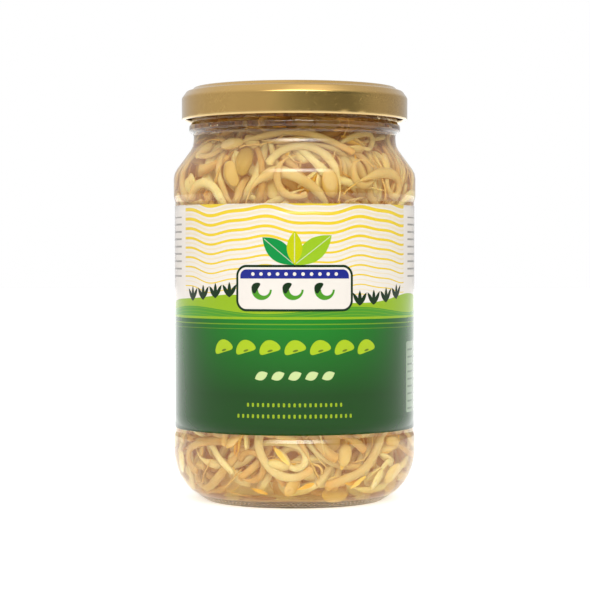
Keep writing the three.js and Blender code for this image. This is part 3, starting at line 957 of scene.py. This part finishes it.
def lay_leaf():
    length = random.uniform(3.5, 6.0)
    laid = lay_line(side, straight(length, 5), np.full(5, random.uniform(0.5, 0.8)))
    if laid is None:
        return 0
    line, outward = laid[:2]
    forward, out, across = (directions[0] for directions in axes_along(line, outward))
    leaf_blade(bunch_at(line), line[0], (forward, across, out), length + 1, 0.0, 0.12)
    return 1


def lay_root():
    count = random.randint(12, 30)
    heading = random.uniform(0, 6.3) + np.cumsum([random.gauss(0.05, 0.22) for _ in range(count)])
    flat = np.cumsum(np.stack([np.cos(heading), np.sin(heading)], axis=1), axis=0)
    widths = np.linspace(0.40, 0.18, count)
    laid = lay_line(side, flat, widths)
    if laid is None:
        return 0
    line, outward = laid[:2]
    bunch_at(line).add(ROOT, *tube(line, outward, widths, sides=6, finer=2))
    return 1


def lay_whole_bean(azimuth, height):
    """A bean that stands on end against the glass."""
    rows = (height - LOWEST + np.array((-1.5, 0, 1.5))) / CELL
    columns = azimuth / 360 * COLUMNS_ROUND + np.array((0.5, 0, -0.5))
    widths = np.full(3, WHOLE_BEAN_SIZE * 0.6)
    side.pile(rows, columns, widths, widths)
    line, outward = side.to_space(rows, columns, widths * 0.8)
    axes = [directions[1] for directions in axes_along(line, outward)]
    bean_skin(bunch_at(line), line[1], axes, WHOLE_BEAN_SIZE)


# %% Filling the jar
SIDE_TRIES = 1500
GAP_TRIES = 1800
SHORT_KINDS = ("broken", "hooked")
END_TRIES = 320
THINGS = {lay_half_bean: 0.10, lay_leaf: 0.035, lay_root: 0.08}

for azimuth, height in WHOLE_BEANS:
    lay_whole_bean(azimuth, height)
laid = {"sprouts": 0, "at the ends": 0}
for _ in range(SIDE_TRIES):
    laid["sprouts"] += lay_sprout(side)
    for lay_thing, share in THINGS.items():
        if random.random() < share:
            laid[lay_thing.__name__] = laid.get(lay_thing.__name__, 0) + lay_thing()
for _ in range(GAP_TRIES):
    laid["sprouts"] += lay_sprout(side, SHORT_KINDS)
for _ in range(END_TRIES):
    laid["at the ends"] += lay_sprout(bottom) + lay_sprout(top)
print(laid, f"and {side.reach.mean():.1f} of {HEAP_DEPTH} mm filled")

# %% [markdown]
# ## Finishes of the sprouts
# A fresh sprout is cream and moist. Light goes a little way into it, so it glows at thin edges: that is
# subsurface scattering. In a packed heap it wanders on from sprout to sprout, which a render can't follow
# far enough, so each one also gets a painted glow of its own colour. No two are alike, so a random
# value for each piece moves its colour from nearly white to straw. The root end of each stem turns tan,
# fine streaks run along it, and a painted shade darkens them all under the lid.

# %% Colours of the sprouts
# Painted glow: each sprout gives off a little light, standing in for light scattered between sprouts.
PAINTED_GLOW_STRENGTH = 0.28
PAINTED_GLOW_TINT = (1.0, 0.70, 0.34)
LID_SHADE = (0.42, 0.33, 0.21)
LID_SHADE_STARTS = 0.0985
LID_SHADE_RISE = 1 / 0.0115
ROOT_TAN = (0.52, 0.30, 0.10)
ROOT_ENDS = 0.22
PLANT_PARTS = {
    "stem": [(0.58, 0.50, 0.32), (0.42, 0.255, 0.10), (0.52, 0.37, 0.18), (0.33, 0.16, 0.05), 0.5, 0.3],
    "seed_leaf": [
        (0.60, 0.515, 0.305), (0.52, 0.35, 0.13), (0.55, 0.39, 0.17), (0.34, 0.17, 0.06), 0.45, 0.3
    ],
    "yellow_leaf": [
        (0.68, 0.46, 0.11), (0.58, 0.31, 0.04), (0.68, 0.49, 0.20), (0.42, 0.19, 0.03), 0.35, 0.3
    ],
    "root": [(0.56, 0.39, 0.18), (0.45, 0.26, 0.10), (0.54, 0.38, 0.18), (0.32, 0.15, 0.05), 0.3, 0.3],
    "bean_skin": [(0.46, 0.31, 0.09), (0.36, 0.23, 0.06), (0.54, 0.36, 0.13), (0.30, 0.17, 0.05), 0.3, 0.22],
    # The lumpy middle body: a browner tan as painted shade deep in the heap.
    "deep_tangle_painted_shade": [(0.54, 0.33, 0.12), (0.42, 0.21, 0.06), (0.54, 0.34, 0.14), (0.25, 0.12, 0.04), 0.2, 0.5],
}


def plant_finish(name, pale, deep, streak, speckle, glow, roughness):
    """A moist plant finish that drifts between two colours, with streaks and brownish specks."""
    finish = Finish(
        name,
        Roughness=roughness,
        IOR=1.38,
        Specular_IOR_Level=0.12,
        Emission_Strength=PAINTED_GLOW_STRENGTH,
        Subsurface_Weight=glow,
        Subsurface_Radius=(1.0, 0.55, 0.25),
        Subsurface_Scale=0.0028,
    )
    clouds = finish.noise(160.0, detail=3.0)
    drift = (clouds * 0.7 + finish.attribute("chance") * 1.2 - 0.45).clamped()
    colour = finish.mix(drift, pale, deep)
    fibres = finish.noise(900.0, detail=2.0)
    colour = finish.mix(fibres.ramp(0.45, 0.9), colour, streak)
    specks = finish.noise(420.0, detail=4.0)
    colour = finish.mix(specks.ramp(0.66, 7.0) * 0.7, colour, speckle)
    finish.bump(clouds * 0.6 + fibres * 0.4, 0.00016, 0.6)
    # Painted shade: every sprout colour darkens towards the lid, from 98.5 mm upward.
    shaded = finish.parts(finish.place())[2].ramp(LID_SHADE_STARTS, LID_SHADE_RISE)
    colour = finish.mix(shaded, colour, finish.mix(1.0, colour, LID_SHADE, blend="MULTIPLY"))
    if name == "stem":
        root_end = finish.attribute("along").ramp(ROOT_ENDS, -4.0)
        colour = finish.mix(root_end * 0.8, colour, ROOT_TAN)
    finish.coloured(colour, PAINTED_GLOW_TINT)
    return finish.material


plant_materials = [plant_finish(name, *looks) for name, looks in PLANT_PARTS.items()]
print("finishes:", list(PLANT_PARTS))

# %% [markdown]
# ## The middle of the heap
# No one sees the middle of the jar, so each stretch gets one lumpy body there, that the sprouts stand
# out of. It is made of the same round bumps as the sprouts would show in the dark, coloured as painted shade.

# %% A lumpy body in each stretch
CORE_SEGMENTS = 96


def core_body(bunch, low, high):
    heights = np.linspace(low, high, round((high - low) / 1.2) + 1)
    base = inside_radius(heights) - GLASS_CLEARANCE - HEAP_DEPTH
    angles = np.arange(CORE_SEGMENTS) * 2 * math.pi / CORE_SEGMENTS
    places = [(0, 0, low)]
    for radius, height in zip(base, heights):
        wave = np.sin(angles * 17 + height * 1.1) * np.sin(height * 1.5 + 2 * np.sin(angles * 5))
        out = radius + 0.9 * wave
        level = np.full_like(out, height)
        places.extend(np.stack([out * np.cos(angles), out * np.sin(angles), level], axis=1))
    places.append((0, 0, high))
    bunch.add(CORE, places, ringed_faces(len(heights), CORE_SEGMENTS), [0.5] * len(places))


starts = [FLOOR_HEIGHT + END_DEPTH] + tangle_tops[:-1]
ends = tangle_tops[:-1] + [HIGHEST - END_DEPTH]
for index, bunch in enumerate(bunches):
    core_body(bunch, starts[index], ends[index])
    name = f"sprout_tangle_{index + 1}"
    finish_piece(bunch.piece(f"sprouts_{index + 1}"), "jar", name, "sprouts", *plant_materials)

# %% [markdown]
# ## The lid
# A twist-off lid is pressed from thin lacquered steel. Its outline has a raised ring on top, a chamfered
# shoulder, a straight skirt and a curled hem, and the middle is sunk, with a safety button. Where the
# hem is crimped into a lug it comes inwards, which leaves a dent outside that can hardly be seen.

# %% The lid
TOTAL_HEIGHT = 122.5
LID_RADIUS = 33.6
LID_BOTTOM = 112.7
LUG_REACH = 1.1
LUG_HALF_DEG = 6.5
LUG_DENT = 0.05
LID_SEGMENTS = 288

lid_corners = [
    (0, 121.3, 0),
    (9.3, 121.3, 0.5),
    (9.9, 121.6, 0.5),
    (26.6, 121.6, 1.0),
    (28.0, TOTAL_HEIGHT, 0.9),
    (29.9, TOTAL_HEIGHT, 0.6),
    (30.7, 121.6, 0.5),
    (32.2, 121.3, 0.9),
    (LID_RADIUS, 119.3, 1.1),
    (LID_RADIUS - 0.03, LID_BOTTOM + 0.05, 0.55),
    (32.4, LID_BOTTOM + 0.05, 0.55),
    (32.3, 113.9, 0.4),
    (33.0, 114.5, 0.4),
    (33.05, 119.1, 0.9),
    (31.9, 120.75, 0.7),
    (30.4, 121.05, 0.4),
    (29.6, TOTAL_HEIGHT - 0.55, 0.4),
    (28.2, TOTAL_HEIGHT - 0.5, 0.3),
    (26.8, 121.2, 0.6),
    (10.0, 121.2, 0.3),
    (9.4, 120.9, 0.3),
    (0, 120.9, 0),
]


def lid_push(angle, radius, height):
    """Lugs crimped inwards from the hem, with a dent outside each one."""
    turn = (np.degrees(angle) - FIRST_LUG_DEG + LUGS_APART_DEG / 2) % LUGS_APART_DEG - LUGS_APART_DEG / 2
    near = smooth_step((LUG_HALF_DEG + 2 - np.abs(turn)) / 3)
    inner = near * LUG_REACH * (radius < 32.9) * (height < 114.6) * (radius > 31.5)
    outer = near * LUG_DENT * (radius >= 32.9) * smooth_step((114.0 - height) / 0.6)
    return radius - inner - outer * (np.abs(turn) > 3.0), height


def lid_spacing(radius, height):
    return 0.5 if radius > 30 else 2.5


lid_profile = divided(rounded(lid_corners[::-1]), lid_spacing)
lid = turned("lid_pressed", lid_profile, LID_SEGMENTS, lid_push)

# %% [markdown]
# ## Gold lacquer
# The gold is a clear yellow lacquer over bright steel. So it is a metal with a tinted colour under a
# thin coat, and its gloss is soft. Fine scratches run in many directions, and show only where a lamp is
# reflected. The hem, below 113.9 mm, is mixed towards a paler gold.

# %% The gold lacquer
HEM_TOP = 0.1139
gold = Finish("gold_lacquer", Metallic=1.0, Roughness=0.3, Coat_Weight=0.5, Coat_Roughness=0.12)
gold_x, gold_y, gold_z = gold.parts(gold.place())
around = gold_x.math("ARCTAN2", gold_y)
lacquer_flow = gold.noise(45.0, detail=3.0)
grain = gold.noise(2600.0, detail=2.0)
lacquer = gold.mix(lacquer_flow, (0.46, 0.28, 0.078), (0.52, 0.33, 0.10))
paler_hem = gold_z.ramp(HEM_TOP, -900.0) * (0.45 + lacquer_flow * 0.5)
gold.set("Base Color", gold.mix(paler_hem * 0.6, lacquer, (0.70, 0.58, 0.32)))


def scratches(finish, tilt, scale):
    """Thin straight marks: a noise drawn out along one slanting direction of the skirt."""
    sideways = around * LID_RADIUS
    upward = gold_z * 1000.0
    across = sideways * math.cos(tilt) + upward * math.sin(tilt)
    down = upward * math.cos(tilt) - sideways * math.sin(tilt)
    stretched = finish.node("CombineXYZ", X=across * scale, Y=down * scale * 0.08, Z=tilt)
    return finish.noise(1.0, detail=1.0, vector=stretched).ramp(0.60, 6.0)


patches = gold.noise(70.0, detail=2.0).ramp(0.42, 4.0)
scratched = scratches(gold, 0.6, 4.5).math("MAXIMUM", scratches(gold, -1.0, 6.0)) * patches
gold.set("Roughness", 0.19 + lacquer_flow * 0.06 + scratched * 0.16)
gold.bump(grain * 0.7 + scratched * 0.4, 0.00001, 0.35)
finish_piece(lid, "cap", "lid", "gold_lacquer", gold.material)

# %% The sealing ring
seal = Finish("sealing_compound", Roughness=0.45, IOR=1.5)
seal_cloud = seal.noise(300.0, detail=3.0)
seal.set("Base Color", seal.mix(seal_cloud, (0.80, 0.77, 0.68), (0.70, 0.66, 0.56)))
seal.bump(seal_cloud, 0.0001, 0.3)
sealing_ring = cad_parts["sealing_ring"]
sealing_ring.data.materials.clear()
sealing_ring.data.materials.append(seal.material)
print("sealing ring keeps its packed shape")

# %% [markdown]
# ## The label
# The label is one strip of coated paper, glued round the jar with a gap at the back. It is a real thin
# strip with two faces and edges. Its print is worked out from two lengths: how far round the jar a point
# is from the middle of the front, and how high it is. A motif is a distance to its outline, in
# millimetres, so every edge stays sharp at any zoom.

# %% The paper strip
LABEL_INSIDE = 35.6
LABEL_OUTSIDE = 35.7
LABEL_LOW = 21.8
LABEL_HIGH = 87.3
OPENING_START_DEG = 101.25
OPENING_DEG = 11.25
LABEL_COLUMNS = 330
LABEL_ROWS = 16
CORNER_RADIUS = 1.2


def paper_strip():
    columns = LABEL_COLUMNS + 1
    rows = LABEL_ROWS + 1
    angles = np.radians(OPENING_START_DEG + np.linspace(0, 360 - OPENING_DEG, columns))
    from_end = np.minimum(angles - angles[0], angles[-1] - angles) * LABEL_OUTSIDE
    short = np.clip(CORNER_RADIUS - from_end, 0, None)
    cut = CORNER_RADIUS - np.sqrt(np.clip(CORNER_RADIUS ** 2 - short ** 2, 0, None))
    places = []
    for radius in (LABEL_INSIDE, LABEL_OUTSIDE):
        for share in np.linspace(0, 1, rows):
            heights = LABEL_LOW + cut + share * (LABEL_HIGH - LABEL_LOW - 2 * cut)
            places.extend(np.stack([radius * np.cos(angles), radius * np.sin(angles), heights], axis=1))
    layer = rows * columns
    faces = []
    for row in range(LABEL_ROWS):
        for column in range(LABEL_COLUMNS):
            corner = row * columns + column
            face = (corner, corner + 1, corner + columns + 1, corner + columns)
            faces.append(tuple(layer + spot for spot in face))
            faces.append(face[::-1])
    for column in range(LABEL_COLUMNS):
        for row, flip in ((0, 1), (LABEL_ROWS, -1)):
            corner = row * columns + column
            faces.append((corner, corner + 1, layer + corner + 1, layer + corner)[::flip])
    for row in range(LABEL_ROWS):
        for column, flip in ((0, -1), (LABEL_COLUMNS, 1)):
            corner = row * columns + column
            faces.append((corner, corner + columns, layer + corner + columns, layer + corner)[::flip])
    return mesh_piece("label_paper", places, faces)


label = paper_strip()

# %% Distances to simple motifs
EDGE_SOFTNESS = 0.08
STUDIO_LIGHT = 1.55
STUDIO_GLARE = 0.034


def ink(red, green, blue):
    """The paint that looks like these 0 to 255 numbers once the studio's light and glare fall on it."""
    seen = [((value / 255 + 0.055) / 1.055) ** 2.4 for value in (red, green, blue)]
    return tuple(max(0.0, value - STUDIO_GLARE) / STUDIO_LIGHT for value in seen)


def inside(distance):
    return (0.5 - distance * (1 / EDGE_SOFTNESS)).clamped()


def oval(s, z, half_width, half_height):
    size = min(half_width, half_height)
    across = s * (1 / half_width)
    up = z * (1 / half_height)
    return ((across * across + up * up).math("SQRT") - 1.0) * size


def plate(s, z, half_width, half_height, rounding):
    across = s.math("ABSOLUTE") - (half_width - rounding)
    up = z.math("ABSOLUTE") - (half_height - rounding)
    corner = across.math("MAXIMUM", 0.0).math("POWER", 2.0) + up.math("MAXIMUM", 0.0).math("POWER", 2.0)
    return corner.math("SQRT") + across.math("MAXIMUM", up).math("MINIMUM", 0.0) - rounding


def overlap(*distances):
    """The distance to the outline that several motifs have in common."""
    common = distances[0]
    for distance in distances[1:]:
        common = common.math("MAXIMUM", distance)
    return common


def tilted(s, z, degrees):
    turn = math.radians(degrees)
    return s * math.cos(turn) + z * math.sin(turn), z * math.cos(turn) - s * math.sin(turn)


def leaf(s, z, length, half_width):
    """A leaf from 0 to its length along s."""
    along_leaf = s * (2 / length) - 1.0
    return z.math("ABSOLUTE") - (1.0 - along_leaf * along_leaf) * half_width


def bean(s, z, half_length, half_width):
    return oval(s, z + s * s * (0.34 / half_length) - half_width * 0.2, half_length, half_width)


def repeated(value, pitch):
    return value.math("WRAP", pitch / 2, -pitch / 2)


# %% [markdown]
# ## The print
# The label is generic and bears no words. Its colours and their scale are those of a fresh vegetable
# label: a white sky with thin yellow waves, lime and green fields, and a deep green ground. A white
# plate with a dotted blue header holds three small sprouts, under three big leaves. Rows of beans, leaves
# and dots stand where a label has its lines of print, and the two sides have ruled lines.

# %% The print on the label
WHITE = ink(252, 242, 233)
YELLOW = ink(250, 216, 74)
LIME = ink(161, 195, 56)
FIELD = ink(94, 164, 62)
DEEP = ink(55, 88, 51)
BRIGHT = ink(55, 149, 60)
DARK = ink(46, 68, 46)
PALE_LIME = ink(184, 210, 56)
CREAM = ink(217, 232, 165)
BLUE = ink(60, 66, 148)
GREY = ink(128, 124, 116)
PANEL = ink(152, 172, 142)
LEAF_PAINTS = (ink(168, 206, 64), ink(8, 156, 84), ink(208, 214, 44))
HORIZON = 60.0
FIELD_TOP = HORIZON - 2.9
GROUND_TOP = 54.6
LEAVES_FROM = 70.0
STRIPE_PITCH = 2.75
SIDE_START = 41.0
SIDE_END = 64.0
RULE_PITCH = 2.15

printed = Finish(
    "printed_paper",
    Roughness=0.5,
    Specular_IOR_Level=0.02,
    Coat_Weight=1.0,
    Coat_IOR=1.3,
    Coat_Roughness=0.12,
)
paper_x, paper_y, paper_z = printed.parts(printed.place())
round_jar = paper_x.math("ARCTAN2", -paper_y) * LABEL_OUTSIDE
height = paper_z * 1000.0
side_distance = round_jar.math("ABSOLUTE")


def wave(length, size, start):
    return (round_jar * (2 * math.pi / length) + start).math("SINE") * size


def lay(distance, paint, strength=1.0):
    """Prints one more motif over what the label already shows."""
    printed.colour = printed.mix(inside(distance) * strength, printed.colour, paint)


printed.colour = WHITE


lines = repeated(height + wave(31, 1.0, 0.4) + wave(13, 0.3, 2.0), STRIPE_PITCH).math("ABSOLUTE")
line_width = (height - HORIZON) * 0.016 + 0.10
sides_clear = overlap(side_distance - (SIDE_START - 2.0), HORIZON + 1.5 - height)
lay(overlap(lines - line_width, sides_clear), YELLOW)
lay(overlap(STRIPE_PITCH / 2 - lines - line_width * 0.8, sides_clear), YELLOW, 0.3)

# %% Fields and ground
lime_edge = height - HORIZON + wave(67, 1.3, 0.6) + wave(29, 0.4, 2.0)
green_edge = height - FIELD_TOP + wave(52, 1.0, 2.6)
furrows = repeated(height + wave(52, 1.0, 2.6), 0.9).math("ABSOLUTE") - 0.10
lay(lime_edge, LIME)
lay(green_edge, FIELD)
lay(overlap(green_edge, furrows), LIME, 0.35)
# Painted highlight: the deep green ground lightens towards the middle of the front; its fade upwards is
# print.
front_painted_highlight = (1.0 - (round_jar * (1 / 34)).math("POWER", 2.0)).math("MAXIMUM", 0.0)
ground_fade = ((height - 33.0) * (1 / 24)).clamped() * (front_painted_highlight * 0.75 + 0.25)
ground = printed.mix(ground_fade, DEEP, BRIGHT)
lay(height - GROUND_TOP, ground)
for level, half_width, strength in ((54.9, 0.34, 1.0), (53.2, 0.16, 0.5), (51.9, 0.10, 0.3)):
    lay((height - level).math("ABSOLUTE") - half_width, LIME, strength)

# %% Seedlings and big leaves
SPRIG_PITCH = 5.0
sprig_s = repeated(side_distance - 19.5, SPRIG_PITCH)
sprig_z = lime_edge + 0.8
sprig_band = (side_distance - 27.0).math("ABSOLUTE") - SPRIG_PITCH * 2
for degrees in (58, 122, 90):
    blade = leaf(*tilted(sprig_s, sprig_z, degrees), 4.4, 0.62)
    lay(overlap(blade, sprig_band), DARK)

LEAF_SHAPES = ((38, 13.5, 3.1), (140, 12.0, 2.8), (90, 9.5, 2.2))
for (degrees, length, half_width), paint in zip(LEAF_SHAPES, LEAF_PAINTS):
    blade_s, blade_z = tilted(round_jar, height - LEAVES_FROM, degrees)
    blade = leaf(blade_s, blade_z, length, half_width)
    lay(blade, paint)
    lay(overlap(blade_z.math("ABSOLUTE") - 0.10, blade + 0.5), WHITE, 0.6)

# %% The plate with three sprouts
PLATE_HEIGHT = 63.4
PLATE_SIZE = (17.2, 6.6, 3.2)
HEADER_LOW = PLATE_HEIGHT + 2.7
DOT_PITCH = 2.4
ICON_PITCH = 9.0
STALK_BEND = 2.3
plaque = plate(round_jar, height - PLATE_HEIGHT, *PLATE_SIZE)
lay(plaque, DARK)
lay(plaque + 0.7, WHITE)
lay(overlap(HEADER_LOW - height, plaque + 1.3), BLUE)
header_dots = oval(repeated(round_jar, DOT_PITCH), height - PLATE_HEIGHT - 4.0, 0.5, 0.5)
lay(overlap(header_dots, side_distance - DOT_PITCH * 5.5), WHITE)
icon_s = repeated(round_jar, ICON_PITCH)
icon_z = height - PLATE_HEIGHT + 0.4
icon_band = side_distance - ICON_PITCH * 1.5
stalk_ring = ((icon_s * icon_s + icon_z * icon_z).math("SQRT") - STALK_BEND).math("ABSOLUTE")
lay(overlap(stalk_ring - 0.62 + icon_s * 0.14, icon_z, icon_band), FIELD)
seed = bean(*tilted(icon_s + 2.2, icon_z - 0.6, 58), 1.7, 1.0)
lay(overlap(seed, icon_band), DARK)

# %% Rows in place of the words
BEAN_LEVEL = 46.6
BEAN_PITCH = 7.2
LEAF_LEVEL = 38.6
LEAF_PITCH = 4.8
bean_s, bean_z = tilted(repeated(round_jar, BEAN_PITCH), height - BEAN_LEVEL, 16)
bean_band = side_distance - BEAN_PITCH * 3.5
lay(overlap(bean(bean_s, bean_z, 3.1, 1.8), bean_band), PALE_LIME)
lay(overlap(oval(bean_s, bean_z + 0.9, 0.8, 0.3), bean_band), DARK, 0.7)
small_leaf = leaf(*tilted(repeated(round_jar, LEAF_PITCH) + 1.8, height - LEAF_LEVEL + 0.8, 24), 4.1, 1.2)
lay(overlap(small_leaf, side_distance - LEAF_PITCH * 2.5), CREAM)
for level, half_width in ((30.4, 14.25), (27.2, 17.25)):
    dots = plate(repeated(round_jar, 1.5), height - level, 0.32, 0.55, 0.25)
    lay(overlap(dots, side_distance - half_width), PALE_LIME, 0.75)

# %% The two sides
rule_row = (height * (1 / RULE_PITCH)).math("FLOOR")
row_end = SIDE_END - 1.0 - (rule_row * 2.3).math("SINE").math("ABSOLUTE") * 7.0
in_column = overlap(side_distance - row_end, SIDE_START + 1.0 - side_distance)
rules = repeated(height, RULE_PITCH).math("ABSOLUTE")
upper_zone = (height - 75.0).math("ABSOLUTE") - 9.0
lay(overlap(rules - 0.28, in_column, upper_zone), GREY, 0.75)
panel = plate(round_jar - (SIDE_START + SIDE_END) / 2, height - 37.2, 11.5, 10.4, 0.8)
lay(panel, PANEL)
lay(overlap(rules - 0.3, in_column, panel + 0.8), DEEP, 0.6)
print("label print uses", len(printed.tree.nodes), "nodes")

# %% Paper and print together
fibre = printed.noise(900.0, detail=4.0)
cockle = printed.noise(55.0, detail=2.0)
printed.set("Base Color", printed.colour)
printed.set("Roughness", 0.36 + fibre * 0.14)
printed.bump(fibre * 0.15 + cockle, 0.00006, 0.35)
bare_paper = Finish("bare_paper", Roughness=0.75, IOR=1.45)
bare_fibre = bare_paper.noise(700.0, detail=4.0)
bare_paper.set("Base Color", bare_paper.mix(bare_fibre, (0.82, 0.80, 0.75), (0.70, 0.67, 0.60)))
bare_paper.bump(bare_fibre, 0.00005, 0.5)
finish_piece(label, "jar", "label", "label_paper", printed.material, bare_paper.material)

# %% [markdown]
# ## Studio
# The photograph has even, soft light from all round, a wide soft lamp above the camera, a weaker light
# higher up, and a darker patch to the right of the camera that gives the gold its dark band. The backdrop
# is pure white. So the room itself is the only light, and its brightness changes with the direction. That
# also gives the lamp soft edges where the glass mirrors it.

# %% The room
ROOM_LEVEL = 0.64
CEILING = 0.45
SOFTBOX_LEVEL = 12.0
TOP_LIGHT_LEVEL = 1.1
SIDE_TO_SIDE = 0.12
DARKENING = 0.50
DARK_TINT = (0.80, 1.0, 0.95)
softbox = {"bearing": 5, "bearing_half": 27, "rise": 33, "rise_half": 8}
top_light = {"bearing": 29, "bearing_half": 46, "rise": 62, "rise_half": 15}
dark_corner = {"bearing": 31, "bearing_half": 44, "rise": -2, "rise_half": 32}

world = bpy.data.worlds.new("room")
world.use_nodes = True
bpy.context.scene.world = world
room = Finish.__new__(Finish)
room.tree = world.node_tree
background = room.tree.nodes["Background"]
room_x, room_y, room_z = room.parts(room.node("TexCoord", output=0))
bearing = room_x.math("ARCTAN2", -room_y)
rise = room_z.math("ARCSINE")


def patch(bearing_deg, bearing_half, rise_deg, rise_half, softness):
    """One in the middle of a patch of the room, falling smoothly to zero at its edges."""
    sideways = ((bearing - math.radians(bearing_deg)) * (1 / math.radians(bearing_half))).math("ABSOLUTE")
    upwards = ((rise - math.radians(rise_deg)) * (1 / math.radians(rise_half))).math("ABSOLUTE")
    fall = sideways.math("POWER", softness) + upwards.math("POWER", softness)
    return (-fall).math("EXPONENT")


shade = patch(*dark_corner.values(), 4.0)
lamp = patch(*softbox.values(), 3.0)
brightness = ROOM_LEVEL - bearing.math("SINE") * SIDE_TO_SIDE - shade * DARKENING
brightness = brightness + room_z.math("MAXIMUM", 0.0) * CEILING + lamp * SOFTBOX_LEVEL
brightness = brightness + patch(*top_light.values(), 4.0) * TOP_LIGHT_LEVEL
seen = Signal(room.tree, room.tree.nodes.new("ShaderNodeLightPath").outputs["Is Camera Ray"])
room_tint = room.mix(shade * (1.0 - seen), (1.0, 1.0, 1.0), DARK_TINT)
plug(room.tree, background.inputs["Color"], room_tint)
plug(room.tree, background.inputs["Strength"], seen + (1.0 - seen) * brightness)
bpy.context.scene.view_settings.view_transform = "Standard"
print("room lit from", softbox)

# %% The floor
FLOOR_RADIUS = 4.0
FLOOR_SIDES = 72
FLOOR_DROP = 0.0001
turns = np.arange(FLOOR_SIDES) * 2 * math.pi / FLOOR_SIDES
rim = np.stack([np.cos(turns), np.sin(turns), np.zeros(FLOOR_SIDES)], axis=1) * FLOOR_RADIUS / MM
floor = mesh_piece("floor", rim, [tuple(range(FLOOR_SIDES))])
floor.location.z = -FLOOR_DROP
matt_white = Finish("matt_white", Roughness=0.8, Emission_Color=(1.0, 1.0, 1.0), Emission_Strength=0.3)
floor_cloud = matt_white.noise(6.0)
matt_white.set("Base Color", matt_white.mix(floor_cloud, (0.94, 0.94, 0.94), (0.92, 0.92, 0.92)))
geometry = matt_white.tree.nodes.new("ShaderNodeNewGeometry")
see_through(matt_white, Signal(matt_white.tree, geometry.outputs["Backfacing"]))
floor.data.materials.append(matt_white.material)
